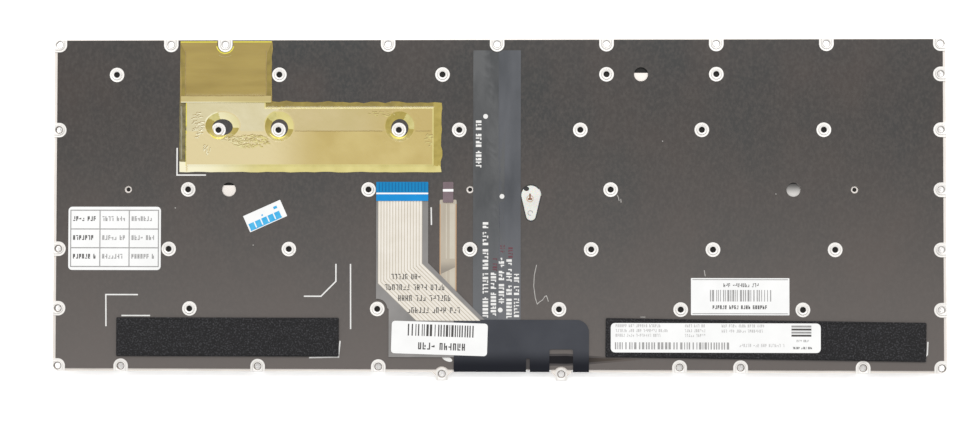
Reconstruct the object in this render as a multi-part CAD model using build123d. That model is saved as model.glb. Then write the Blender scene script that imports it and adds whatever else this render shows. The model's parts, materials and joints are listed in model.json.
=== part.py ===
from build123d import *
import math
import os

# Replacement laptop keyboard lying on its keycaps with its back upwards. Millimetres.
# X runs along the key rows, Y from the space bar to the function row, Z from the keycaps to the back.

# Key field: widths in key pitches, the first key of a row at the right because the keys face down.
KEY_PITCH = 19.05
ROW_LENGTH = 14.75
FUNCTION_DEPTH = 10.2
NUMBER_DEPTH = 17.5
LETTER_DEPTH = 18.8
EDGE_MARGIN = 1.0
KEY_GAP = 3.05
EDGE_CAP_INSET = 3.0

# Keycaps, their travel and the rubber domes that carry them.
CAP_HEIGHT = 2.0
CAP_FACE_THICKNESS = 0.9
CAP_WALL = 1.0
CAP_CORNER = 0.9
CAP_DRAFT = 12.0
KEY_TRAVEL = 1.2
STOP_CLEARANCE = 0.15
DOME_TIP_RADIUS = 1.2
DOME_BASE_RADIUS = 2.6
DOME_SIDES = 6

# Sheets, from the keys to the back.
MEMBRANE_THICKNESS = 0.2
MEMBRANE_INSET = 3.6
PLATE_THICKNESS = 0.4
PLATE_CORNER = 2.0
GUIDE_THICKNESS = 0.3
GUIDE_INSET = 4.3
FILM_THICKNESS = 0.1
FILM_SIDE_INSET = 1.0
FILM_TOP_INSET = 0.3
FILM_BOTTOM_INSET = 0.9
FLEX_THICKNESS = 0.15
STIFFENER_THICKNESS = 0.2
TAPE_THICKNESS = 0.1
LABEL_THICKNESS = 0.1
FOAM_THICKNESS = 0.8

# Stud bosses in the key gaps, edge pads and screw tabs of the base plate.
# Small round forms that repeat have few flat sides, and the holes that take screws are true circles.
ROUND_SIDES = 12
HOLE_SIDES = 8
BOSS_BASE_RADIUS = 2.2
BOSS_TOP_RADIUS = 1.6
BOSS_RISE = 0.35
STUD_HOLE_RADIUS = 0.95
FILM_CLEARANCE = 0.15
SHEET_CLEARANCE = 0.4
PAD_RADIUS = 1.7
PAD_INSET = 1.7
TAB_WIDTH = 3.8
TAB_REACH = 2.6
TAB_FLARE = 1.3
TAB_HOLE_REACH = 0.5
TAB_SPACING = 37.5
TAB_CENTRE = 1.5
PORT_RADIUS = 2.2
PORT_SLOT_OFFSET = 0.6
PIN_RADIUS = 1.0

# Light strip on the back: a wide flex with a narrow tail beside the ribbon.
STRIP_WIDTH = 15.0
STRIP_TOP_INSET = 3.6
LIGHT_TAIL_WIDTH = 5.3
LIGHT_TAIL_RIGHT = -12.7
LIGHT_HEAD_WIDTH = 3.3
LIGHT_HEAD_LENGTH = 6.5
LIGHT_LINK_DEPTH = 2.8
WINDOW_TOP_RADIUS = 3.2
WINDOW_END_RADIUS = 1.7
WINDOW_LENGTH = 6.5

# Ribbon tail of the switch membrane, folded over the lower edge of the plate.
RIBBON_WIDTH = 16.4
RIBBON_RIGHT = -21.6
RIBBON_RISE = 2.4
RIBBON_BEND_DROP = 4.3
RIBBON_END_LENGTH = 6.0
ROOT_LEFT = -13.5
ROOT_RIGHT = 28.9
ROOT_TOP_DROP = 3.3
ROOT_CORNER = 3.8
COVER_LEFT = -34.0
COVER_BOTTOM_RISE = 4.7
TAIL_BOSS_CLEARANCE = 1.0
SLIT_LEFT = 9.0
SLIT_WIDTH = 1.6
SLIT_LENGTH = 4.4
NOTCH_WIDTH = 7.4
NOTCH_LENGTH = 7.3
FOLD_CLEARANCE = 0.1

# Tape, foam strips and labels on the back.
TAPE_LEFT_REACH = 12.3
TAPE_RIGHT_REACH = 13.5
TAPE_LOWER_RISE = 8.6
TAPE_LOWER_DROP = 13.3
TAPE_TOP_INSET = 0.6
TAPE_HOLE_CLEARANCE = 1.6
FOAM_DEPTH = 12.2
FOAM_CLEARANCE = 0.6
FOAM_LEFT_LENGTH = 70.4
FOAM_LEFT_SHIFT = -47.3
FOAM_RIGHT_LENGTH = 99.8
FOAM_RIGHT_SHIFT = 26.4
FOAM_RIGHT_DROP = 0.5
FOAM_RIGHT_TURN = -0.7
LABEL_CORNER = 1.0
TEST_LABEL_LENGTH = 29.4
TEST_LABEL_DEPTH = 20.0
TEST_LABEL_CLEARANCE = 0.3
TEST_LABEL_RISE = 3.3
STICKER_LENGTH = 12.8
STICKER_DEPTH = 5.6
STICKER_SHIFT = -4.1
STICKER_DROP = 8.4
STICKER_TURN = 24.0
RIBBON_LABEL_LENGTH = 30.2
RIBBON_LABEL_DEPTH = 10.2
RIBBON_LABEL_OVERHANG = 0.9
RIBBON_LABEL_DROP = 9.2
RIBBON_LABEL_TURN = -1.7
SERIAL_LABEL_LENGTH = 30.7
SERIAL_LABEL_DEPTH = 11.6
SERIAL_LABEL_CLEARANCE = 1.0
SERIAL_LABEL_RISE = 4.1
RATING_LABEL_LENGTH = 65.4
RATING_LABEL_DEPTH = 9.2
RATING_LABEL_SHIFT = -15.6
RATING_LABEL_RISE = 0.6


def keys(names, width=1.0):
    """Keys of one width as (name, width) pairs."""
    return [(name, width) for name in names]


# Each row holds (name, width) pairs, and a key of width 0 takes what is left of the row.
CORNER_KEY = 1.05
CORNER_KEYS = 2
FUNCTION_NAMES = [f"f{number}" for number in range(1, 13)] + ["print", "insert"]
FUNCTION_KEY = (ROW_LENGTH - CORNER_KEYS * CORNER_KEY) / len(FUNCTION_NAMES)
TAB_KEY = 1.5
CAPS_KEY = 1.82
SHIFT_KEY = 2.35
CONTROL_KEY = 1.37
ARROW_KEY = 1.14
FUNCTION = [("escape", CORNER_KEY)] + keys(FUNCTION_NAMES, FUNCTION_KEY) + [("delete", CORNER_KEY)]
NUMBER = keys(["backquote", *"1234567890", "minus", "equals"]) + [("backspace", 0)]
UPPER = [("tab", TAB_KEY)] + keys([*"qwertyuiop", "open_bracket", "close_bracket"]) + [("backslash", 0)]
HOME = [("caps_lock", CAPS_KEY)] + keys([*"asdfghjkl", "semicolon", "quote"]) + [("enter", 0)]
LOWER = [("left_shift", SHIFT_KEY)] + keys([*"zxcvbnm", "comma", "period", "slash"])
LOWER += [("arrow_up", 0), ("right_shift", ARROW_KEY)]
BOTTOM = [("left_control", CONTROL_KEY)] + keys(["fn", "menu", "left_alt"]) + [("space", 0)]
BOTTOM += keys(["right_alt", "right_control"])
BOTTOM += keys(["arrow_left", "arrow_down", "arrow_right"], ARROW_KEY)
ROWS = [FUNCTION, NUMBER, UPPER, HOME, LOWER, BOTTOM]
ROW_DEPTHS = [FUNCTION_DEPTH, NUMBER_DEPTH] + [LETTER_DEPTH] * 4

# Keys that travel as nodes of their own. The others share one node.
TRAVELLING = [*"1234567890", *"qwertyuiopasdfghjklzxcvbnm"]
TRAVELLING += ["space", "enter", "backspace", "tab", "caps_lock", "left_shift", "right_shift"]

# Bosses, ports and pins as (row boundary, row whose gaps they stand in, key count before each gap).
BOSS_GAPS = [
    (1, FUNCTION, [4, 6, 9, 12, 15]),
    (2, NUMBER, [2, 4, 6, 8, 9, 11, 12]),
    (3, UPPER, [5, 9, 12]),
    (4, HOME, [1, 3, 5, 7, 10, 12]),
    (5, LOWER, [1, 3, 5, 8]),
    (5, BOTTOM, [8]),
]
PORT_GAPS = [(1, NUMBER, [5]), (3, UPPER, [2]), (3, HOME, [11])]
PIN_GAPS = [(3, UPPER, [1, 13]), (3, HOME, [7])]
TOP_PAD_GAPS = [2, 4, 6, 8, 10, 13, 14]
BOTTOM_PAD_GAPS = [1, 3, 4, 5, 7, 9]
LEFT_PAD_ROWS = [2, 4, 5]
RIGHT_PAD_ROWS = [1, 2, 3, 4, 5]

# Gaps that the tape, foam strips and labels are placed from, as key counts before each gap.
TAPE_GAPS = [9, 11, 12]
TAPE_STEP_GAP = 12
TEST_LABEL_GAP = 12
STICKER_GAP = 11
SERIAL_LABEL_GAP = 3
FOAM_LEFT_GAP = 8
FOAM_RIGHT_GAP = 3

# Outline of the plate, centred with its screw tabs on the origin.
PLATE_LENGTH = ROW_LENGTH * KEY_PITCH
PLATE_DEPTH = 2 * EDGE_MARGIN + sum(ROW_DEPTHS)
RIGHT = PLATE_LENGTH / 2
LEFT = -RIGHT
TOP = (PLATE_DEPTH + TAB_REACH) / 2
FOOT = TOP - PLATE_DEPTH

# Levels, each the lower face of its sheet.
MEMBRANE_Z = CAP_HEIGHT + KEY_TRAVEL + STOP_CLEARANCE
PLATE_Z = MEMBRANE_Z + MEMBRANE_THICKNESS
GUIDE_Z = PLATE_Z + PLATE_THICKNESS
FILM_Z = GUIDE_Z + GUIDE_THICKNESS
BACK_Z = FILM_Z + FILM_THICKNESS
TAIL_Z = BACK_Z + FLEX_THICKNESS
TAIL_TOP_Z = TAIL_Z + MEMBRANE_THICKNESS
BOSS_HEIGHT = BACK_Z + BOSS_RISE - GUIDE_Z
FOLD_RADIUS = (TAIL_TOP_Z - MEMBRANE_Z) / 2


def row_y(boundary):
    """Y of the boundary below that many rows."""
    return TOP - EDGE_MARGIN - sum(ROW_DEPTHS[:boundary])


def gap_x(row, count):
    """X of the gap after that many keys of a row."""
    rest = ROW_LENGTH - sum(width for _, width in row)
    return RIGHT - KEY_PITCH * sum(width or rest for _, width in row[:count])


def places(groups):
    """Points at the listed key gaps."""
    return [(gap_x(row, count), row_y(boundary)) for boundary, row, counts in groups for count in counts]


# Y of the boundaries below four of the rows.
NUMBER_FOOT, UPPER_FOOT, HOME_FOOT, LOWER_FOOT = (row_y(boundary) for boundary in (2, 3, 4, 5))

BOSSES = places(BOSS_GAPS)
PORTS = places(PORT_GAPS)
PINS = places(PIN_GAPS)
TABS = [(TAB_CENTRE + side * TAB_SPACING / 2, FOOT - TAB_HOLE_REACH) for side in (-1, 1)]

# Edge pads as (x, y, direction of the side edge or 0, direction of the upper or lower edge or 0).
PADS = [(gap_x(FUNCTION, count), TOP - PAD_INSET, 0, 1) for count in TOP_PAD_GAPS]
PADS += [(gap_x(BOTTOM, count), FOOT + PAD_INSET, 0, -1) for count in BOTTOM_PAD_GAPS]
PADS += [(LEFT + PAD_INSET, row_y(row), -1, 0) for row in LEFT_PAD_ROWS]
PADS += [(RIGHT - PAD_INSET, row_y(row), 1, 0) for row in RIGHT_PAD_ROWS]
CORNERS = [(LEFT, TOP, -1, 1), (RIGHT, TOP, 1, 1), (LEFT, FOOT, -1, -1), (RIGHT, FOOT, 1, -1)]
PADS += [(x - dx * PAD_INSET, y - dy * PAD_INSET, dx, dy) for x, y, dx, dy in CORNERS]


def box(left, right, bottom, top):
    """Rectangle between two x values and two y values."""
    return Pos((left + right) / 2, (bottom + top) / 2) * Rectangle(right - left, top - bottom)


def sheet(sketch, level, thickness):
    """Flat sheet of a sketch with its lower face at a level."""
    return Pos(0, 0, level) * extrude(sketch, thickness)


def discs(points, radius, sides=ROUND_SIDES):
    """Small round discs at points."""
    return Sketch() + [Pos(x, y) * RegularPolygon(radius, sides) for x, y in points]


def ring(x, y, level, radius, sides):
    """Corner points of a level regular polygon."""
    turns = [2 * math.pi * side / sides for side in range(sides)]
    return [(x + radius * math.cos(turn), y + radius * math.sin(turn), level) for turn in turns]


def tapered(lower, upper):
    """Solid with flat sides between two like polygons, given by their corner points."""
    ends = [Face(Wire.make_polygon(corners)) for corners in (lower, upper)]
    corners = zip(lower, lower[1:] + lower[:1], upper[1:] + upper[:1], upper)
    sides = [Face(Wire.make_polygon(corner)) for corner in corners]
    return Solid(Shell(ends + sides))


def squares(points, half_side):
    """Square openings at points."""
    return Sketch() + [Pos(x, y) * Rectangle(2 * half_side, 2 * half_side) for x, y in points]


def pad_outline(pad, radius, sides=ROUND_SIDES):
    """Round pad with straight sides to the plate edges that it stands at."""
    x, y, dx, dy = pad
    outline = Pos(x, y) * RegularPolygon(radius, sides)
    if dx:
        outline += box(*sorted((x, x + dx * PAD_INSET)), y - radius, y + radius)
    if dy:
        outline += box(x - radius, x + radius, *sorted((y, y + dy * PAD_INSET)))
    return outline


def plate_outline():
    """Rounded rectangle with two screw tabs and a recess for the folded tail."""
    plate = fillet(box(LEFT, RIGHT, FOOT, TOP).vertices(), PLATE_CORNER)
    fold = FOLD_RADIUS + FOLD_CLEARANCE
    plate -= box(ROOT_LEFT - FOLD_CLEARANCE, ROOT_RIGHT + FOLD_CLEARANCE, FOOT, FOOT + fold)
    root = TAB_WIDTH / 2 + TAB_FLARE
    flare = Rot(0, 0, 180) * Trapezoid(2 * root, TAB_FLARE, 45, align=(Align.CENTER, Align.MIN))
    for x, _ in TABS:
        plate += box(x - root, x + root, FOOT, FOOT + fold)
        plate += box(x - TAB_WIDTH / 2, x + TAB_WIDTH / 2, FOOT - TAB_REACH, FOOT)
        plate += Pos(x, FOOT) * flare
    return plate


def boss(x, y):
    """Tapered boss that stands on the plate."""
    base = ring(x, y, GUIDE_Z, BOSS_BASE_RADIUS, ROUND_SIDES)
    return tapered(base, ring(x, y, GUIDE_Z + BOSS_HEIGHT, BOSS_TOP_RADIUS, ROUND_SIDES))


def base_plate():
    """Sheet plate with tapered bosses, edge pads, stud holes, slots and pin holes."""
    outline = plate_outline()
    plate = sheet(outline, PLATE_Z, PLATE_THICKNESS)
    pads = discs(TABS, PAD_RADIUS) + [pad_outline(pad, PAD_RADIUS) for pad in PADS]
    plate += sheet(pads & outline, GUIDE_Z, BOSS_HEIGHT)
    plate += [boss(x, y) for x, y in BOSSES]
    slots = squares([(x, y + PORT_SLOT_OFFSET + PORT_RADIUS) for x, y in PORTS], PORT_RADIUS)
    screws = TABS + [pad[:2] for pad in PADS[-len(CORNERS):]]
    studs = BOSSES + [pad[:2] for pad in PADS[:-len(CORNERS)]]
    holes = discs(studs, STUD_HOLE_RADIUS, HOLE_SIDES) + discs(PINS, PIN_RADIUS, HOLE_SIDES) + slots
    holes += [Pos(x, y) * Circle(STUD_HOLE_RADIUS) for x, y in screws]
    return plate - sheet(holes, PLATE_Z, PLATE_THICKNESS + BOSS_HEIGHT)


def light_guide():
    """Clear sheet inside the ring of edge pads, open round the bosses and ports."""
    guide = box(LEFT + GUIDE_INSET, RIGHT - GUIDE_INSET, FOOT + GUIDE_INSET, TOP - GUIDE_INSET)
    guide -= squares(BOSSES + PORTS + PINS, BOSS_BASE_RADIUS + SHEET_CLEARANCE)
    return sheet(guide, GUIDE_Z, GUIDE_THICKNESS)


def light_window():
    """Drop-shaped opening in the film beside the light strip."""
    x = STRIP_WIDTH / 2 + WINDOW_TOP_RADIUS
    top = Pos(x, UPPER_FOOT - WINDOW_END_RADIUS) * Circle(WINDOW_TOP_RADIUS)
    end = Pos(x, UPPER_FOOT - WINDOW_END_RADIUS - WINDOW_LENGTH) * Circle(WINDOW_END_RADIUS)
    return make_hull((top + end).edges())


def back_film():
    """Black film over the back, open round bosses, pads, ports and pins."""
    film = box(LEFT + FILM_SIDE_INSET, RIGHT - FILM_SIDE_INSET, FOOT + FILM_BOTTOM_INSET, TOP - FILM_TOP_INSET)
    opening = BOSS_BASE_RADIUS + FILM_CLEARANCE
    film -= discs(BOSSES + TABS, opening, HOLE_SIDES)
    film -= [pad_outline(pad, opening, HOLE_SIDES) for pad in PADS]
    film -= discs(PORTS, PORT_RADIUS) + discs(PINS, PIN_RADIUS + FILM_CLEARANCE, HOLE_SIDES) + light_window()
    return sheet(film, FILM_Z, FILM_THICKNESS)


def clear_of_bosses(sketch, clearance):
    """Sketch cut back round every boss."""
    return sketch - discs(BOSSES, BOSS_BASE_RADIUS + clearance)


def light_head():
    """Contact end of the narrow light tail."""
    left = LIGHT_TAIL_RIGHT - (LIGHT_TAIL_WIDTH + LIGHT_HEAD_WIDTH) / 2
    top = UPPER_FOOT + RIBBON_RISE
    return box(left, left + LIGHT_HEAD_WIDTH, top - LIGHT_HEAD_LENGTH, top)


def led_flex():
    """Light strip joined under the ribbon to its narrow tail."""
    foot = LOWER_FOOT - ROOT_TOP_DROP
    left = LIGHT_TAIL_RIGHT - LIGHT_TAIL_WIDTH
    flex = box(-STRIP_WIDTH / 2, STRIP_WIDTH / 2, foot, TOP - STRIP_TOP_INSET)
    flex += box(left, 0, foot, foot + LIGHT_LINK_DEPTH)
    flex += box(left, LIGHT_TAIL_RIGHT, foot, UPPER_FOOT + RIBBON_RISE - LIGHT_HEAD_LENGTH)
    return sheet(clear_of_bosses(flex + light_head(), SHEET_CLEARANCE), BACK_Z, FLEX_THICKNESS)


def tail_outline():
    """Ribbon, its diagonal, the cover beside it and the root at the lower edge, as one flat outline."""
    ribbon_left = RIBBON_RIGHT - RIBBON_WIDTH
    ribbon_top = UPPER_FOOT + RIBBON_RISE
    bend = HOME_FOOT - RIBBON_BEND_DROP
    root_top = LOWER_FOOT - ROOT_TOP_DROP
    cover_foot = FOOT + COVER_BOTTOM_RISE
    fold = FOOT + FOLD_RADIUS + FOLD_CLEARANCE
    ribbon = Polyline(
        (ribbon_left, ribbon_top),
        (RIBBON_RIGHT, ribbon_top),
        (RIBBON_RIGHT, bend),
        (RIBBON_RIGHT + bend - root_top, root_top),
        (RIBBON_RIGHT + bend - root_top, cover_foot),
        (COVER_LEFT, cover_foot),
        (COVER_LEFT, LOWER_FOOT),
        (ribbon_left, LOWER_FOOT + BOSS_BASE_RADIUS),
        close=True,
    )
    root = box(ROOT_LEFT, ROOT_RIGHT, fold, root_top)
    corner = root.vertices().sort_by(Axis.X)[-2:].sort_by(Axis.Y)[-1]
    return clear_of_bosses(make_face(ribbon) + fillet(corner, ROOT_CORNER), TAIL_BOSS_CLEARANCE)


def tail_fold():
    """Half turn of the tail round the lower edge of the plate, with its foot under the plate."""
    inner = FOLD_RADIUS - MEMBRANE_THICKNESS
    centre = FOOT + FOLD_RADIUS + FOLD_CLEARANCE
    turn = Circle(FOLD_RADIUS) - Circle(inner) - box(0, FOLD_RADIUS, -FOLD_RADIUS, FOLD_RADIUS)
    turn += box(0, MEMBRANE_INSET, -FOLD_RADIUS, -inner)
    place = Plane(origin=(ROOT_LEFT, centre, MEMBRANE_Z + FOLD_RADIUS), x_dir=(0, 1, 0), z_dir=(1, 0, 0))
    return extrude(place * turn, ROOT_RIGHT - ROOT_LEFT)


def switch_membrane():
    """Switch sheet behind the keys with its tail folded over the lower edge onto the back."""
    inset = MEMBRANE_INSET
    field = box(LEFT + inset, RIGHT - inset, FOOT + inset, TOP - inset)
    field -= squares(BOSSES + PINS, STUD_HOLE_RADIUS + SHEET_CLEARANCE)
    membrane = sheet(field, MEMBRANE_Z, MEMBRANE_THICKNESS) + tail_fold()
    membrane += sheet(tail_outline(), TAIL_Z, MEMBRANE_THICKNESS)
    tab = TABS[1][0]
    cuts = box(SLIT_LEFT, SLIT_LEFT + SLIT_WIDTH, FOOT, FOOT + SLIT_LENGTH)
    cuts += box(tab - NOTCH_WIDTH / 2, tab + NOTCH_WIDTH / 2, FOOT, FOOT + NOTCH_LENGTH)
    return membrane - sheet(cuts, PLATE_Z, TAIL_TOP_Z) - sheet(cuts & fold_strip(), MEMBRANE_Z, TAIL_TOP_Z)


def fold_strip():
    """Strip along the lower edge that holds the fold."""
    return box(ROOT_LEFT, ROOT_RIGHT, FOOT, FOOT + MEMBRANE_INSET)


def rubber_dome(x, y):
    """Six-sided dome from a keycap to the membrane."""
    tip = ring(x, y, CAP_FACE_THICKNESS, DOME_TIP_RADIUS, DOME_SIDES)
    return tapered(tip, ring(x, y, MEMBRANE_Z, DOME_BASE_RADIUS, DOME_SIDES))


def cap_corners(left, right, bottom, top, level):
    """Corner points of a cap outline with its corners cut."""
    cut = CAP_CORNER
    lower = [(left, bottom + cut), (left + cut, bottom), (right - cut, bottom), (right, bottom + cut)]
    upper = [(right, top - cut), (right - cut, top), (left + cut, top), (left, top - cut)]
    return [(x, y, level) for x, y in lower + upper]


def keycap(left, right, bottom, top):
    """Drafted cap with its face down and a pocket for the dome."""
    inset = CAP_HEIGHT * math.tan(math.radians(CAP_DRAFT))
    face = cap_corners(left + inset, right - inset, bottom + inset, top - inset, 0)
    shell = tapered(face, cap_corners(left, right, bottom, top, CAP_HEIGHT))
    pocket = box(left + CAP_WALL, right - CAP_WALL, bottom + CAP_WALL, top - CAP_WALL)
    return shell - sheet(pocket, CAP_FACE_THICKNESS, CAP_HEIGHT)


def key_edges():
    """Name and cap edges of every key, with the outer keys set in from the plate edge."""
    edges = {}
    for index, row in enumerate(ROWS):
        top = min(row_y(index) - KEY_GAP / 2, TOP - EDGE_CAP_INSET)
        bottom = max(row_y(index + 1) + KEY_GAP / 2, FOOT + EDGE_CAP_INSET)
        for count, (name, _) in enumerate(row):
            right = min(gap_x(row, count) - KEY_GAP / 2, RIGHT - EDGE_CAP_INSET)
            left = max(gap_x(row, count + 1) + KEY_GAP / 2, LEFT + EDGE_CAP_INSET)
            edges[name] = (left, right, bottom, top)
    return edges


def tail_stiffener():
    """Stiffener on the contact end of the ribbon."""
    top = UPPER_FOOT + RIBBON_RISE
    end = box(RIBBON_RIGHT - RIBBON_WIDTH, RIBBON_RIGHT, top - RIBBON_END_LENGTH, top)
    return sheet(end, TAIL_TOP_Z, STIFFENER_THICKNESS)


def insulating_tape():
    """Two overlapped lengths of tape as one outline, open round three bosses and an edge pad."""
    left = gap_x(NUMBER, TAPE_GAPS[-1]) - TAPE_LEFT_REACH
    step = gap_x(FUNCTION, TAPE_STEP_GAP) - BOSS_BASE_RADIUS - FILM_CLEARANCE
    right = gap_x(NUMBER, TAPE_GAPS[0]) + TAPE_RIGHT_REACH
    level = NUMBER_FOOT + TAPE_LOWER_RISE
    tape = box(left, right, NUMBER_FOOT - TAPE_LOWER_DROP, level)
    tape += box(left, step, level, TOP - TAPE_TOP_INSET)
    tape -= discs(places([(2, NUMBER, TAPE_GAPS)]), BOSS_BASE_RADIUS + TAPE_HOLE_CLEARANCE)
    tape -= [pad_outline(pad, BOSS_BASE_RADIUS + SHEET_CLEARANCE) for pad in PADS]
    return sheet(tape, BACK_Z, TAPE_THICKNESS)


def foam_strip(x, y, length, turn):
    """Foam strip on the back film."""
    return Pos(x, y, BACK_Z) * Rot(0, 0, turn) * extrude(Rectangle(length, FOAM_DEPTH), FOAM_THICKNESS)


def label(length, depth, x, y, level, turn=0.0):
    """Label with its corners cut."""
    outline = chamfer(Rectangle(length, depth).vertices(), LABEL_CORNER)
    return Pos(x, y, level) * Rot(0, 0, turn) * extrude(outline, LABEL_THICKNESS)


def back_labels():
    """Labels by name, each placed from the boss, foam strip or tail that it lies by."""
    test_x = gap_x(HOME, TEST_LABEL_GAP) - BOSS_BASE_RADIUS - TEST_LABEL_CLEARANCE - TEST_LABEL_LENGTH / 2
    sticker_x = gap_x(NUMBER, STICKER_GAP) + STICKER_SHIFT
    ribbon_x = COVER_LEFT + RIBBON_LABEL_OVERHANG + RIBBON_LABEL_LENGTH / 2
    ribbon_y = LOWER_FOOT - RIBBON_LABEL_DROP
    serial_left = gap_x(LOWER, SERIAL_LABEL_GAP) + BOSS_BASE_RADIUS + SERIAL_LABEL_CLEARANCE
    serial_x = serial_left + SERIAL_LABEL_LENGTH / 2
    rating_x = FOAM_RIGHT_X + RATING_LABEL_SHIFT
    rating_y = FOAM_Y - FOAM_RIGHT_DROP + RATING_LABEL_RISE
    foam_top = BACK_Z + FOAM_THICKNESS
    return {
        "test_label": label(TEST_LABEL_LENGTH, TEST_LABEL_DEPTH, test_x, HOME_FOOT + TEST_LABEL_RISE, BACK_Z),
        "small_sticker": label(
            STICKER_LENGTH, STICKER_DEPTH, sticker_x, UPPER_FOOT - STICKER_DROP, BACK_Z, STICKER_TURN
        ),
        "ribbon_label": label(
            RIBBON_LABEL_LENGTH, RIBBON_LABEL_DEPTH, ribbon_x, ribbon_y, TAIL_TOP_Z, RIBBON_LABEL_TURN
        ),
        "serial_label": label(
            SERIAL_LABEL_LENGTH, SERIAL_LABEL_DEPTH, serial_x, LOWER_FOOT + SERIAL_LABEL_RISE, BACK_Z
        ),
        "rating_label": label(RATING_LABEL_LENGTH, RATING_LABEL_DEPTH, rating_x, rating_y, foam_top),
    }


EDGES = key_edges()
CAPS = {name: keycap(*edges) for name, edges in EDGES.items()}
CENTRES = [((left + right) / 2, (bottom + top) / 2) for left, right, bottom, top in EDGES.values()]
FOAM_LEFT_X = gap_x(LOWER, FOAM_LEFT_GAP) + FOAM_LEFT_SHIFT
FOAM_RIGHT_X = gap_x(LOWER, FOAM_RIGHT_GAP) + FOAM_RIGHT_SHIFT
FOAM_Y = LOWER_FOOT - BOSS_BASE_RADIUS - FOAM_CLEARANCE - FOAM_DEPTH / 2

NODES = {
    "base_plate": base_plate(),
    "light_guide": light_guide(),
    "back_film": back_film(),
    "led_flex": led_flex(),
    "led_tail_stiffener": sheet(light_head(), TAIL_Z, STIFFENER_THICKNESS),
    "switch_membrane": switch_membrane(),
    "tail_stiffener": tail_stiffener(),
    "rubber_domes": Compound(children=[rubber_dome(x, y) for x, y in CENTRES]),
    "fixed_keycaps": Compound(children=[cap for name, cap in CAPS.items() if name not in TRAVELLING]),
    "insulating_tape": insulating_tape(),
    "foam_strip_left": foam_strip(FOAM_LEFT_X, FOAM_Y, FOAM_LEFT_LENGTH, 0),
    "foam_strip_right": foam_strip(FOAM_RIGHT_X, FOAM_Y - FOAM_RIGHT_DROP, FOAM_RIGHT_LENGTH, FOAM_RIGHT_TURN),
}
NODES.update(back_labels())
NODES.update({f"key_{name}": CAPS[name] for name in TRAVELLING})

os.makedirs("parts", exist_ok=True)
for name, shape in NODES.items():
    export_step(shape, f"parts/{name}.step")
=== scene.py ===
"""Looks of a replacement laptop keyboard that lies on its keycaps with its back upwards.

Lengths are millimetres in the part's own frame until a mesh is made: X runs along the key rows,
Y from the space bar to the function row and Z from the keycaps to the back.
"""

import json
import logging
import math
import random
from collections import Counter
from collections.abc import Callable, Iterable, Sequence
from dataclasses import dataclass, field
from enum import IntEnum

import bpy
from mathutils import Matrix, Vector, noise
from mathutils.geometry import delaunay_2d_cdt


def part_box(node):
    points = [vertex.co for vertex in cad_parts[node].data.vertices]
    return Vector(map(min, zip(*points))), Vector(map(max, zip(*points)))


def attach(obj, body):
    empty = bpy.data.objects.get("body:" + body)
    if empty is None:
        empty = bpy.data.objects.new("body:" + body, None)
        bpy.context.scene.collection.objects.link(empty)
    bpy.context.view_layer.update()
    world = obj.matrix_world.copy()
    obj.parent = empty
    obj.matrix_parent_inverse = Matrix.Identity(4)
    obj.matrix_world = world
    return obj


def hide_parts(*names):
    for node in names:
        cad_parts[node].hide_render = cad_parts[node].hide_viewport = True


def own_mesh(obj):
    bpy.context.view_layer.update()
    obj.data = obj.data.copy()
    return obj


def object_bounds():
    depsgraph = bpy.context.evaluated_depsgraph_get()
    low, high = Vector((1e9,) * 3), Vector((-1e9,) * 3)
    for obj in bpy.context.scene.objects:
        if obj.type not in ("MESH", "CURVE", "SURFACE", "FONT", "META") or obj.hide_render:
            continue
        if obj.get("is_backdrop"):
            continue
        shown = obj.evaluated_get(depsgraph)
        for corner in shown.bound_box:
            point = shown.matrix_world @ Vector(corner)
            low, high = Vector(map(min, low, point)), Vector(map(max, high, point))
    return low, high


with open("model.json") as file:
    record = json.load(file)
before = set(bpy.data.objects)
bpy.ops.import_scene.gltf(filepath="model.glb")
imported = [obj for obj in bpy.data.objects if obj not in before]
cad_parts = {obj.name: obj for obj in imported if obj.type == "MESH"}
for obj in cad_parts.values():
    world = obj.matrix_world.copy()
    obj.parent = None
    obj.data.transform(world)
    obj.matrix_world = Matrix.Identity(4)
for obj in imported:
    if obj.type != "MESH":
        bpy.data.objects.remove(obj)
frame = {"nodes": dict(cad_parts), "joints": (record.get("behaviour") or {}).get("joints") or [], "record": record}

CAD_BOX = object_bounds()
LOG = logging.getLogger("keyboard")
METRE = 0.001
TOUCH = 0.02
SMOOTH_ANGLE = math.radians(38)
INK_THICKNESS = 0.015
BODY = "chassis"
MITRE_LIMIT = 0.4
# Sockets of a mix node's colours, which share their names with its other sockets.
MIX_SHARE = 0
MIX_FIRST = 6
MIX_SECOND = 7
MIX_RESULT = 2

Point = tuple[float, float]
Place = tuple[float, float, float]
Outline = list[Point]
Rim = tuple[float, float, float, float]


def linear(code: str) -> tuple[float, float, float, float]:
    """Turn an sRGB hex colour into linear values.

    Args:
        code: six hex digits.

    Returns:
        Linear red, green and blue, and an alpha of 1.
    """
    parts = [int(code[start : start + 2], 16) / 255 for start in (0, 2, 4)]
    lit = [part / 12.92 if part <= 0.04045 else ((part + 0.055) / 1.055) ** 2.4 for part in parts]
    return (lit[0], lit[1], lit[2], 1.0)


def per_metre(size: float) -> float:
    """Scale of a pattern whose features are this many millimetres wide."""
    return 1 / (size * METRE)


def add(tree: bpy.types.NodeTree, kind: str, inputs: dict, **settings: object) -> bpy.types.Node:
    """Add a shader node with its settings, values and links.

    Args:
        tree: node tree that takes the node.
        kind: node type without its common prefix.
        inputs: values or output sockets by input name or number.
        settings: properties of the node.

    Returns:
        The new node.
    """
    made = tree.nodes.new("ShaderNode" + kind)
    for name, value in settings.items():
        setattr(made, name, value)
    for name, value in inputs.items():
        if isinstance(value, bpy.types.NodeSocket):
            tree.links.new(value, made.inputs[name])
        else:
            made.inputs[name].default_value = value
    return made


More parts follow.
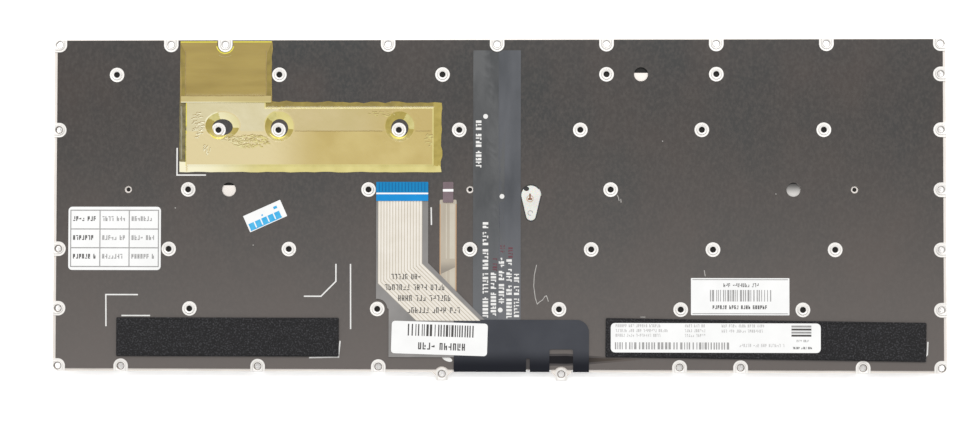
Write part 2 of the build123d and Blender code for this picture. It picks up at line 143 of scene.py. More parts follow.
@dataclass(frozen=True)
class Finish:
    """A real material with its colours, its surface grain and its gloss.

    Mottle is the width of its colour patches, grain the width of its surface grain and relief the
    height of that grain, all in millimetres. Flecks mix a third colour into the tops of the grain,
    and a drift mixes another in slowly between two places.
    """

    name: str
    colour: str
    second: str
    mottle: float
    grain: float
    relief: float
    roughness: float
    spread: float = 0.06
    metallic: float = 0.0
    coat: float = 0.0
    soft: float = 0.0
    ior: float = 1.5
    stretch: Place = (1.0, 1.0, 1.0)
    fleck: str = ""
    fleck_share: float = 0.35
    drift: str = ""
    drift_from: Point = (0.0, 0.0)
    drift_to: Point = (0.0, 1.0)

    def material(self) -> bpy.types.Material:
        """The material, made on its first use."""
        return bpy.data.materials.get(self.name) or self.make()

    def make(self) -> bpy.types.Material:
        """Make the material.

        Returns:
            A material whose colour, roughness and bump follow its patterns.
        """
        made = bpy.data.materials.new(self.name)
        made.use_nodes = True
        tree = made.node_tree
        tree.nodes.clear()
        place = add(tree, "TexCoord", {}).outputs["Object"]
        drawn = add(tree, "Mapping", {"Vector": place, "Scale": self.stretch}).outputs[0]
        patches = add(tree, "TexNoise", {"Vector": drawn, "Scale": per_metre(self.mottle), "Detail": 4.0})
        grain = add(tree, "TexNoise", {"Vector": drawn, "Scale": per_metre(self.grain)}).outputs[0]
        share = add(tree, "MapRange", {"Value": patches.outputs[0], "From Min": 0.32, "From Max": 0.68})
        ends = {MIX_FIRST: linear(self.colour), MIX_SECOND: linear(self.second)}
        tint = add(tree, "Mix", {MIX_SHARE: share.outputs[0], **ends}, data_type="RGBA").outputs[MIX_RESULT]
        if self.fleck:
            reach = {"Value": grain, "From Min": 1 - self.fleck_share, "From Max": 1.0}
            tops = add(tree, "MapRange", reach).outputs[0]
            flecked = {MIX_SHARE: tops, MIX_FIRST: tint, MIX_SECOND: linear(self.fleck)}
            tint = add(tree, "Mix", flecked, data_type="RGBA").outputs[MIX_RESULT]
        if self.drift:
            tint = self.drifted(tree, place, tint)
        shiny, dull = self.roughness - self.spread, self.roughness + self.spread
        gloss = {"Value": grain, "To Min": shiny, "To Max": dull}
        bump = add(tree, "Bump", {"Height": grain, "Distance": self.relief * METRE})
        surface = {
            "Base Color": tint,
            "Roughness": add(tree, "MapRange", gloss).outputs[0],
            "Normal": bump.outputs[0],
            "Metallic": self.metallic,
            "IOR": self.ior,
            "Coat Weight": self.coat,
            "Subsurface Weight": self.soft,
            "Subsurface Scale": METRE,
        }
        shader = add(tree, "BsdfPrincipled", surface)
        add(tree, "OutputMaterial", {"Surface": shader.outputs[0]})
        return made

    def drifted(
        self, tree: bpy.types.NodeTree, place: bpy.types.NodeSocket, tint: bpy.types.NodeSocket
    ) -> bpy.types.NodeSocket:
        """Mix in the drift colour along its line.

        Args:
            tree: node tree of the material.
            place: object coordinates.
            tint: colour before the drift.

        Returns:
            The mixed colour.
        """
        start, end = (Vector((*point, 0.0)) * METRE for point in (self.drift_from, self.drift_to))
        line = end - start
        offset = add(tree, "VectorMath", {0: place, 1: start}, operation="SUBTRACT").outputs[0]
        along = {0: offset, 1: line / line.length_squared}
        share = add(tree, "VectorMath", along, operation="DOT_PRODUCT").outputs["Value"]
        eased = add(tree, "MapRange", {"Value": share}, interpolation_type="SMOOTHSTEP").outputs[0]
        colours = {MIX_SHARE: eased, MIX_FIRST: tint, MIX_SECOND: linear(self.drift)}
        return add(tree, "Mix", colours, data_type="RGBA").outputs[MIX_RESULT]


# Satin anodised aluminium, pressed from sheet: an even pale silver with a barely seen grain.
ALUMINIUM = Finish("satin_anodised_aluminium", "F7F4F0", "EBE8E4", 9, 0.5, 0.004, 0.5, metallic=0.4)
ALUMINIUM_SHEET = Finish("bare_aluminium_sheet", "F0E9E2", "E5DED7", 9, 0.5, 0.004, 0.5, metallic=0.4)
# Bores of the stud holes, darkened with painted shade: deeper in the inner bosses and at the lower and left edges,
# paler at the upper and right edges, which face the light.
ALUMINIUM_BORE = Finish("aluminium_bore_painted_shade", "8E8780", "7E7771", 2, 0.4, 0.006, 0.4, metallic=0.4)
ALUMINIUM_LIT_BORE = Finish("aluminium_bore_painted_light", "C4C0BC", "B4B0AC", 2, 0.4, 0.006, 0.4, metallic=0.4)
PORT_SHADE = Finish(
    "aluminium_sheet_in_shade", "3A3836", "454341", 2, 0.4, 0.003, 0.5,
    drift="D6D3CF", drift_from=(0.0, 8.2), drift_to=(0.0, 4.4)
)
# Matt black polyester film, laminated flat: warm and green clouds from handling, dusted with fine lint, with a
# painted sheen that lightens it towards the lower edge.
BACK_FILM = Finish(
    "matt_black_polyester_film", "362D28", "1D2020", 24, 0.8, 0.003, 0.36, ior=1.54, stretch=(1.0, 0.7, 1.0),
    fleck="46403B", fleck_share=0.6, drift="69625E", drift_from=(0.0, 48.0), drift_to=(0.0, -85.0)
)
FILM_SHADE = Finish(
    "black_film_in_shade", "131216", "1A181B", 6, 0.8, 0.003, 0.5, ior=1.25,
    drift="4E463F", drift_from=(22.0, 0.0), drift_to=(38.0, 0.0)
)
FILM_HALF_SHADE = Finish(
    "black_film_in_half_shade", "3E3A3A", "444040", 6, 0.8, 0.003, 0.5, ior=1.4,
    drift="5C544F", drift_from=(24.0, 0.0), drift_to=(42.0, 0.0)
)
# Frosted acrylic sheet with a white reflector under it: even bright white.
LIGHT_GUIDE = Finish("frosted_acrylic", "F0EEE8", "E2DFD8", 5, 0.6, 0.006, 0.3, soft=0.15)
# Copper-clad polyimide under a grey cover coat: cool grey with faint ripples along its length, and a painted sheen
# that lightens both greys towards the lower end.
FLEX_COAT = Finish(
    "grey_coated_polyimide", "36383A", "545556", 9, 2.2, 0.03, 0.42, stretch=(1.6, 0.5, 1.0),
    drift="646669", drift_from=(0.0, 20.0), drift_to=(0.0, -45.0)
)
FLEX_COVER = Finish(
    "cool_grey_cover_coat", "3C3F44", "54565B", 11, 2.6, 0.03, 0.4, stretch=(1.6, 0.5, 1.0),
    drift="6A6B6F", drift_from=(0.0, 10.0), drift_to=(0.0, -40.0)
)
# Bare polyimide tail over copper: beige with amber where the cut edge shows.
FLEX_TAIL = Finish(
    "clear_polyimide_over_copper", "C2B8A7", "B2A897", 6, 0.8, 0.006, 0.35, stretch=(1.0, 0.3, 1.0)
)
FLEX_AMBER = Finish("amber_polyimide_edge", "C9A37E", "BC9770", 6, 0.8, 0.004, 0.35)
FLEX_TRACE = Finish("tinned_copper_under_polyimide", "CFC8B8", "C6BDAC", 6, 0.8, 0.004, 0.3)
# Painted shade where the tail bends, darkening towards its lower end.
FLEX_BEND_SHADE = Finish(
    "polyimide_tail_painted_bend_shade", "BDB3A2", "B2A897", 6, 0.8, 0.006, 0.35,
    drift="938B7F", drift_from=(0.0, -15.8), drift_to=(0.0, -19.4)
)
FLEX_HEAD = Finish("plum_brown_polyimide_stiffener", "7C6A70", "6E5C62", 5, 0.6, 0.006, 0.45)
# Switch membrane of printed polyester: smoky and smooth, with cloudy print behind it.
MEMBRANE = Finish("smoked_polyester_membrane", "1A1816", "22201D", 12, 0.7, 0.003, 0.3, ior=1.35)
TAIL_CLEAR = Finish("clear_polyester_over_black", "928F8D", "807E7C", 10, 1.5, 0.004, 0.25)
# Blue-black printed root of the tail, with painted shade that darkens it towards the lower edge, where it turns
# over that edge.
TAIL_ROOT = Finish(
    "blue_black_printed_polyester", "484A50", "3F4147", 12, 0.8, 0.004, 0.5, ior=1.25,
    drift="14161E", drift_from=(0.0, -43.5), drift_to=(0.0, -49.4)
)
# Silver paste traces under a clear coat: warm white lines on a slightly darker ground.
RIBBON_GROUND = Finish("silver_paste_ground", "C0B6A4", "CAC1B0", 3, 0.5, 0.003, 0.4)
RIBBON_TRACE = Finish("silver_paste_trace", "EEE8DE", "E5DED2", 5, 0.5, 0.004, 0.35)
# Blue polyester stiffener, cut from sheet: saturated and smooth.
STIFFENER = Finish("blue_polyester_sheet", "0383BE", "027CB6", 4, 0.5, 0.004, 0.45, ior=1.3)
STIFFENER_PALE = Finish(
    "blue_polyester_over_bright_contacts", "0A90D8", "0889CE", 4, 0.5, 0.004, 0.45, ior=1.3
)
STIFFENER_LINE = Finish("deep_blue_contact_shadow", "026298", "036AA2", 4, 0.5, 0.002, 0.45, ior=1.3)
# Yellow polyester tape: glossy old gold over a pale shim, olive where it sticks to black film and clear yellow
# where it meets bright metal, with painted highlights, a painted reflection and painted shade in its creases.
# Its drift is a painted reflection that pales it towards the left.
TAPE_LOW = Finish(
    "yellow_tape_over_shim", "BDA763", "CAB674", 11, 1.4, 0.012, 0.27, coat=0.15,
    drift="DACA99", drift_from=(-54.0, 22.0), drift_to=(-74.0, 22.0)
)
# Its drift deepens it towards the right, where the painted reflection on the left part fades.
TAPE_PALE = Finish(
    "yellow_tape_over_pale_shim", "C8B785", "C0AF77", 9, 1.4, 0.012, 0.27, coat=0.15,
    drift="BFA968", drift_from=(-48.0, 0.0), drift_to=(-26.0, 0.0)
)
# Painted reflection: the pale cream upper left part of the tape.
TAPE_REFLECTION = Finish("yellow_tape_painted_reflection", "D6CCA6", "CFC49A", 6, 1.4, 0.012, 0.27, coat=0.15)
TAPE_HIGH = Finish(
    "yellow_tape_single_layer", "98823D", "AC964D", 8, 1.2, 0.012, 0.24, coat=0.3, stretch=(0.3, 1.6, 1.0)
)
TAPE_DOUBLE = Finish(
    "yellow_tape_overlap", "BCAB6E", "C9B87D", 4, 1.2, 0.012, 0.24, coat=0.3, stretch=(0.3, 1.6, 1.0)
)
TAPE_EDGE = Finish("yellow_tape_over_film", "A08E3A", "B9A652", 3, 1.0, 0.012, 0.25, coat=0.3)
TAPE_OLIVE = Finish("yellow_tape_pressed_on_film", "84722F", "9A8738", 2.5, 1.0, 0.012, 0.25, coat=0.3)
# Painted half light on the dish walls that partly face the light.
TAPE_HALF_LIT_WALL = Finish("yellow_tape_dish_wall_painted_half_light", "C0B66C", "D2C884", 1.5, 1.0, 0.012, 0.25, coat=0.3)
# Painted highlight: nearly white along the shim's edges, on the lit side of the dishes, beside the crumples and at
# the lower left corner, whiter towards the left.
TAPE_HIGHLIGHT = Finish(
    "yellow_tape_painted_highlight", "DDD188", "CFC278", 4, 1.0, 0.012, 0.25, coat=0.3,
    drift="F3EDCB", drift_from=(-72.0, 0.0), drift_to=(-97.0, 0.0)
)
# Painted shade along the creases and crumples.
TAPE_CREASE_SHADE = Finish("yellow_tape_painted_crease_shade", "927B45", "A89158", 3, 1.0, 0.012, 0.3, coat=0.2)
# Real fold along the left edge, greyed by a painted sheen where the lifted tape catches the light.
TAPE_FOLD_SHEEN = Finish("yellow_tape_edge_fold_painted_sheen", "878269", "97927A", 2.5, 1.0, 0.012, 0.3, coat=0.2)
TAPE_SHADE = Finish("yellow_tape_in_shade", "5A5230", "857A4C", 1.6, 1.0, 0.012, 0.3, coat=0.2)
TAPE_BRIGHT = Finish("yellow_tape_over_metal", "F0E352", "E3D64A", 3, 1.0, 0.012, 0.25, coat=0.3)
# Open-cell polyurethane foam, skived to a strip: near black with cells that catch the light.
# The real cells are about 0.3 mm wide and are drawn a little wider so that they show.
FOAM = Finish(
    "black_polyurethane_foam", "0F0E10", "171618", 1.6, 0.5, 0.12, 0.9, fleck="5C5C60", fleck_share=0.5
)
# Coated label paper: bright, very smooth, with a little unevenness from handling.
PAPER = Finish("coated_label_paper", "FAFAF9", "F4F4F3", 8, 0.4, 0.004, 0.5)
INK_BLACK = Finish("thermal_print_black", "3B3938", "4A4846", 1.5, 0.4, 0.001, 0.6)
INK_GREY = Finish("faint_print_grey", "969594", "A8A7A6", 1.5, 0.4, 0.001, 0.6)
INK_FAINT = Finish("pale_print_grey", "BDBCBB", "CBCAC9", 1.5, 0.4, 0.001, 0.6)
INK_BLUE = Finish("sky_blue_print", "1FA6E0", "4DB9E8", 1.8, 0.4, 0.001, 0.55)
INK_WHITE = Finish("white_screen_print", "F1F0ED", "E4E3E0", 2, 0.4, 0.002, 0.55)
INK_PEN = Finish("silver_pen_mark", "C2BFBA", "A8A5A1", 1.5, 0.4, 0.001, 0.5)
# Near black: a dark dot on the light guide, and the painted shadow of the film's cut edge round the drop-shaped
# window.
INK_DARK_AND_PAINTED_SHADOW = Finish("dark_mark_and_painted_shadow", "1C1B1B", "272625", 2, 0.4, 0.002, 0.6)
INK_WINE = Finish("wine_red_print", "6B3A44", "5C323B", 2, 0.4, 0.002, 0.6)
INK_RUST = Finish("rust_brown_mark", "8A5B3C", "74492F", 1, 0.4, 0.002, 0.6)
# Textured ABS keycaps: fine spark-eroded grain that dulls the black.
KEYCAP = Finish("spark_grained_black_abs", "1C1C1E", "242426", 6, 0.35, 0.02, 0.55)
LEGEND = Finish("translucent_white_legend", "E9E9EA", "DCDCDE", 2, 0.4, 0.001, 0.5)
# Silicone domes and acetal links, moulded: milky and slightly waxy.
SILICONE = Finish("milky_silicone_rubber", "D2D2CE", "C4C4C0", 3, 0.5, 0.006, 0.45, soft=0.3)
ACETAL = Finish("white_acetal", "E2E1DC", "D6D5D0", 4, 0.5, 0.004, 0.4, soft=0.1)
WIRE = Finish("bright_drawn_steel_wire", "C9CACC", "B9BABC", 3, 0.3, 0.003, 0.25, metallic=1.0)


def ring(x: float, y: float, wide: float, deep: float = 0.0, sides: int = 36) -> Outline:
    """Round or oval outline.

    Args:
        x: centre along X.
        y: centre along Y.
        wide: half its width.
        deep: half its depth, or 0 for a circle.
        sides: number of points.

    Returns:
        The outline, anticlockwise.
    """
    turns = [2 * math.pi * side / sides for side in range(sides)]
    return [(x + wide * math.cos(turn), y + (deep or wide) * math.sin(turn)) for turn in turns]


def rectangle(
    left: float, low: float, right: float, high: float, corner: float = 0.0, steps: int = 5
) -> Outline:
    """Rectangle with rounded corners.

    Args:
        left: least X.
        low: least Y.
        right: greatest X.
        high: greatest Y.
        corner: corner radius, or 0 for square corners.
        steps: points of each corner.

    Returns:
        The outline, anticlockwise.
    """
    if not corner:
        return [(left, low), (right, low), (right, high), (left, high)]
    centres = [(right, high, -1, -1), (left, high, 1, -1), (left, low, 1, 1), (right, low, -1, 1)]
    made = []
    for quarter, (x, y, inward_x, inward_y) in enumerate(centres):
        for step in range(steps):
            turn = math.pi / 2 * (quarter + step / (steps - 1))
            centre = (x + inward_x * corner, y + inward_y * corner)
            made.append((centre[0] + corner * math.cos(turn), centre[1] + corner * math.sin(turn)))
    return made


def stroke(points: Sequence[Point], width: float) -> Outline:
    """Outline of a line of one width with mitred bends.

    Args:
        points: the line's points.
        width: its width.

    Returns:
        The outline.
    """
    left, right = [], []
    for index, (x, y) in enumerate(points):
        before = Vector(points[max(index - 1, 0)])
        after = Vector(points[min(index + 1, len(points) - 1)])
        here = Vector((x, y))
        runs = ((before, here), (here, after))
        sides = [(there - start).normalized() for start, there in runs if there != start]
        along = sum(sides, Vector((0, 0))).normalized()
        reach = width / 2 / max(along.dot(sides[0]), MITRE_LIMIT)
        left.append((x - along.y * reach, y + along.x * reach))
        right.append((x + along.y * reach, y - along.x * reach))
    return right + left[::-1]


def wavy(start: Point, end: Point, reach: float, step: float, seed: int) -> Outline:
    """Uneven torn edge between two points.

    Args:
        start: first point.
        end: last point, which is left for the next edge.
        reach: greatest distance from the straight line.
        step: spacing of its points.
        seed: start of its random draws.

    Returns:
        The points of the edge.
    """
    draw = random.Random(seed)
    run = Vector(end) - Vector(start)
    count = max(int(run.length / step), 1)
    aside = Vector((-run.y, run.x)).normalized()
    offsets = [0.0] + [draw.uniform(-reach, reach) for _ in range(count - 1)]
    places = [Vector(start) + run * (index / count) + aside * offset for index, offset in enumerate(offsets)]
    return [(place.x, place.y) for place in places]


def divided(outline: Sequence[Point], step: float) -> Outline:
    """The outline with more points at an even step along its sides."""
    sides = zip(outline, [*outline[1:], outline[0]])
    return [point for start, end in sides for point in wavy(start, end, 0.0, step, 1)]


def grid(left: float, low: float, right: float, high: float, step: float) -> list[Point]:
    """Points inside a rectangle at an even step."""
    across, along = int((right - left) / step), int((high - low) / step)
    return [(left + step * (i + 0.5), low + step * (j + 0.5)) for i in range(across) for j in range(along)]


def crescent(middle: Point, half: Point, thick: float, span: Point, steps: int = 14) -> Outline:
    """Crescent along the inside of an oval.

    Args:
        middle: centre of the oval.
        half: half its width and half its depth.
        thick: greatest thickness, as a share of the oval.
        span: angles of its two tips in degrees.
        steps: points of each side, less one.

    Returns:
        The outline.
    """
    outer, inner = [], []
    for step in range(steps + 1):
        turn = math.radians(span[0] + (span[1] - span[0]) * step / steps)
        share = 1 - thick * math.sin(math.pi * step / steps)
        wide, deep = half[0] * math.cos(turn), half[1] * math.sin(turn)
        outer.append((middle[0] + wide, middle[1] + deep))
        inner.append((middle[0] + share * wide, middle[1] + share * deep))
    return outer + inner[-2:0:-1]


def anticlockwise(outline: Sequence[Point]) -> Outline:
    """Turn an outline anticlockwise.

    Args:
        outline: its points in either order.

    Returns:
        Its points, anticlockwise.
    """
    ends = zip(outline, [*outline[1:], outline[0]])
    area = sum(a[0] * b[1] - b[0] * a[1] for a, b in ends)
    return list(outline) if area > 0 else list(outline)[::-1]


def smooth(share: float) -> float:
    """Smooth step from 0 to 1."""
    held = min(max(share, 0.0), 1.0)
    return held * held * (3 - 2 * held)


def bell(offset: float, width: float) -> float:
    """Bell curve of height 1 at an offset from its middle."""
    return math.exp(-((offset / width) ** 2))


Lift = Callable[[float, float], float]


class Shape:
    """Points and faces of a piece, each face with the number of its finish."""

    def __init__(self) -> None:
        """Start with nothing."""
        self.points: list[Place] = []
        self.faces: list[tuple[int, ...]] = []
        self.finishes: list[int] = []

    def gather(self, points: Iterable[Place], faces: Iterable[Iterable[int]], finish: int = 0) -> None:
        """Add points and the faces between them.

        Args:
            points: places of the new points.
            faces: numbers of the new points, from 0.
            finish: number of the faces' finish.
        """
        start = len(self.points)
        self.points += points
        made = [tuple(start + corner for corner in face) for face in faces]
        self.faces += made
        self.finishes += [finish] * len(made)

    def tone(self, start: int, finish_at: Callable[[float, float], int]) -> None:
        """Choose the finish of the faces from a number on by where they lie.

        Args:
            start: number of the first face.
            finish_at: gives the number of the finish at a point.
        """
        for index in range(start, len(self.faces)):
            corners = [self.points[corner] for corner in self.faces[index]]
            x, y = (sum(corner[axis] for corner in corners) / len(corners) for axis in (0, 1))
            self.finishes[index] = finish_at(x, y)

    def sheet(
        self,
        keep: Sequence[Outline],
        cut: Sequence[Outline],
        low: float,
        high: float,
        finish: int = 0,
        seeds: Sequence[Point] = (),
        lift: Lift | None = None,
    ) -> None:
        """Add a closed sheet of outlines less openings.

        Args:
            keep: outlines of the sheet.
            cut: outlines of its openings, which may cross its edge.
            low: height of its lower face.
            high: height of its upper face.
            finish: number of its finish.
            seeds: points inside it that the lift can move.
            lift: extra height of the upper face at a point.
        """
        outlines = [anticlockwise(outline) for outline in [*keep, *cut]]
        corners = [Vector(point) for outline in outlines for point in outline]
        loops, start = [], 0
        for outline in outlines:
            loops.append(list(range(start, start + len(outline))))
            start += len(outline)
        corners += [Vector(point) for point in seeds]
        flat, _, triangles, _, _, sources = delaunay_2d_cdt(corners, [], loops, 1, 1e-4)
        inside = [
            face for face, source in zip(triangles, sources) if source and max(source) < len(keep)
        ]
        used = sorted({corner for face in inside for corner in face})
        number = {corner: index for index, corner in enumerate(used)}
        upper = [tuple(number[corner] for corner in face) for face in inside]
        directed = {(a, b) for face in upper for a, b in zip(face, face[1:] + face[:1])}
        count = len(used)
        rim = [(a + count, b + count, b, a) for a, b in directed if (b, a) not in directed]
        lower = [tuple(corner + count for corner in face[::-1]) for face in upper]
        raised = [(flat[c].x, flat[c].y, high + (lift(*flat[c]) if lift else 0.0)) for c in used]
        bottom = [(flat[c].x, flat[c].y, low) for c in used]
        self.gather(raised + bottom, upper + lower + rim, finish)

    def loft(self, rings: Sequence[Sequence[Place]], finish: int = 0, closed: bool = False) -> None:
        """Add the skin through like rings, capped at both ends or joined into a loop.

        Args:
            rings: rings with equal numbers of points.
            finish: number of its finish.
            closed: whether the last ring joins the first.
        """
        size, count = len(rings[0]), len(rings)
        points = [point for one in rings for point in one]
        faces: list[tuple[int, ...]] = []
        for index in range(count if closed else count - 1):
            here, above = index * size, (index + 1) % count * size
            for side in range(size):
                after = (side + 1) % size
                faces.append((here + side, here + after, above + after, above + side))
        if not closed:
            faces.append(tuple(range(size))[::-1])
            faces.append(tuple(range((count - 1) * size, count * size)))
        self.gather(points, faces, finish)

    def beam(self, start: Place, end: Place, wide: float, tall: float, finish: int = 0) -> None:
        """Add a straight bar of rectangular section.

        Args:
            start: middle of one end.
            end: middle of the other end.
            wide: width across the bar.
            tall: height along Z.
            finish: number of its finish.
        """
        along = Vector(end) - Vector(start)
        across = Vector((0, 0, 1)).cross(along).normalized() * wide / 2
        upward = Vector((0, 0, tall / 2))
        corners = [-across - upward, across - upward, across + upward, -across + upward]
        self.loft([[tuple(Vector(place) + corner) for corner in corners] for place in (start, end)], finish)

    def ink(
        self, outlines: Sequence[Outline], level: float, finish: int, thickness: float = INK_THICKNESS
    ) -> None:
        """Add printed patches of one thickness on a surface."""
        for outline in outlines:
            self.sheet([outline], [], level, level + thickness, finish)

    def put(self, other: "Shape", x: float, y: float, turn: float = 0.0) -> None:
        """Add another shape, turned about Z and moved.

        Args:
            other: the shape.
            x: where its origin goes along X.
            y: where its origin goes along Y.
            turn: its turn in degrees.
        """
        c, s = math.cos(math.radians(turn)), math.sin(math.radians(turn))
        moved = [(x + c * px - s * py, y + s * px + c * py, pz) for px, py, pz in other.points]
        for face, finish in zip(other.faces, other.finishes):
            self.faces.append(tuple(len(self.points) + corner for corner in face))
            self.finishes.append(finish)
        self.points += moved

    def piece(
        self,
        name: str,
        finishes: Sequence[Finish],
        slot: str,
        stands_for: Sequence[str] = (),
        body: str = BODY,
    ) -> bpy.types.Object:
        """Make the piece and set it on its body.

        Args:
            name: name of the piece.
            finishes: its finishes in the order of their numbers.
            slot: material slot of the record; not used.
            stands_for: nodes that it replaces.
            body: body that it rides on.

        Returns:
            The new object.
        """
        mesh = bpy.data.meshes.new(name)
        mesh.from_pydata([Vector(point) * METRE for point in self.points], [], self.faces)
        for finish in finishes:
            mesh.materials.append(finish.material())
        mesh.polygons.foreach_set("material_index", self.finishes)
        mesh.shade_smooth()
        mesh.set_sharp_from_angle(angle=SMOOTH_ANGLE)
        made = bpy.data.objects.new(name, mesh)
        bpy.context.scene.collection.objects.link(made)
        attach(made, body)
        if stands_for:
            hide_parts(*stands_for)
        LOG.info("%s: %d faces on %s", name, len(self.faces), body)
        return made


def reach(name: str) -> tuple[Place, Place]:
    """Lowest and highest corner of a node."""
    low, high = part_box(name)
    return tuple(low / METRE), tuple(high / METRE)


def groups(links: Iterable[Iterable[Place]]) -> list[set[Place]]:
    """Join sets of places that share one.

    Args:
        links: sets of places, such as edges or faces.

    Returns:
        The joined sets.
    """
    found: list[set[Place]] = []
    for link in links:
        joined = set(link)
        apart = []
        for group in found:
            if group.isdisjoint(joined):
                apart.append(group)
            else:
                joined |= group
        found = [*apart, joined]
    return found


def node_faces(name: str) -> list[list[Place]]:
    """Read the faces of a node.

    Args:
        name: node.

    Returns:
        Corner places of each face.
    """
    mesh = frame["nodes"][name].data
    places = [tuple(round(value / METRE, 3) for value in point.co) for point in mesh.vertices]
    return [[places[corner] for corner in face.vertices] for face in mesh.polygons]


def spans(group: Iterable[Place]) -> tuple[float, float, float, float]:
    """Least and greatest X and Y of some places, as left, low, right and high."""
    across, along = zip(*[(place[0], place[1]) for place in group])
    return min(across), min(along), max(across), max(along)


def rims(name: str, level: float) -> list[Rim]:
    """Find the rims of a node's flat faces at a level.

    Args:
        name: node.
        level: height of the faces.

    Returns:
        Centre, half width and half depth of each rim.
    """
    edges: Counter = Counter()
    for corners in node_faces(name):
        if all(abs(corner[2] - level) < TOUCH for corner in corners):
            edges.update(frozenset(pair) for pair in zip(corners, corners[1:] + corners[:1]))
    found = [spans(group) for group in groups(edge for edge, count in edges.items() if count == 1)]
    return [
        ((left + right) / 2, (low + high) / 2, (right - left) / 2, (high - low) / 2)
        for left, low, right, high in found
    ]


@dataclass(frozen=True)
class Stud:
    """A hole for a stud, with the directions of the plate edges that it stands at."""

    x: float
    y: float
    side: int
    end: int
    inset: float
    corner: float

    @property
    def inner(self) -> bool:
        """Whether it stands away from the plate's edges."""
        return not (self.side or self.end)

    def outline(self, radius: float, back: float = 0.0, sides: int = 40) -> Outline:
        """Round outline with straight sides to the plate edges.

        Args:
            radius: radius of its round part.
            back: distance that it stays back from the plate edges.
            sides: number of points.

        Returns:
            The outline.
        """
        made = []
        inset = self.inset - back
        for step in range(sides):
            c, s = math.cos(2 * math.pi * step / sides), math.sin(2 * math.pi * step / sides)
            to_side, to_end = self.side * c > 1e-6, self.end * s > 1e-6
            x = self.x + (self.side * inset if to_side else radius * c)
            y = self.y + (self.end * inset if to_end else radius * s)
            if to_side and to_end:
                spare = inset - self.corner
                x = self.x + self.side * spare + self.corner * c
                y = self.y + self.end * spare + self.corner * s
            made.append((x, y))
        return made


class PlateTone(IntEnum):
    """Finishes of the plate in the order of its slots."""

    PAD = 0
    SHEET = 1
    # The two bore tones are painted shade in the holes, the last one paler.
    BORE = 2
    SHADE = 3
    LIT_BORE = 4


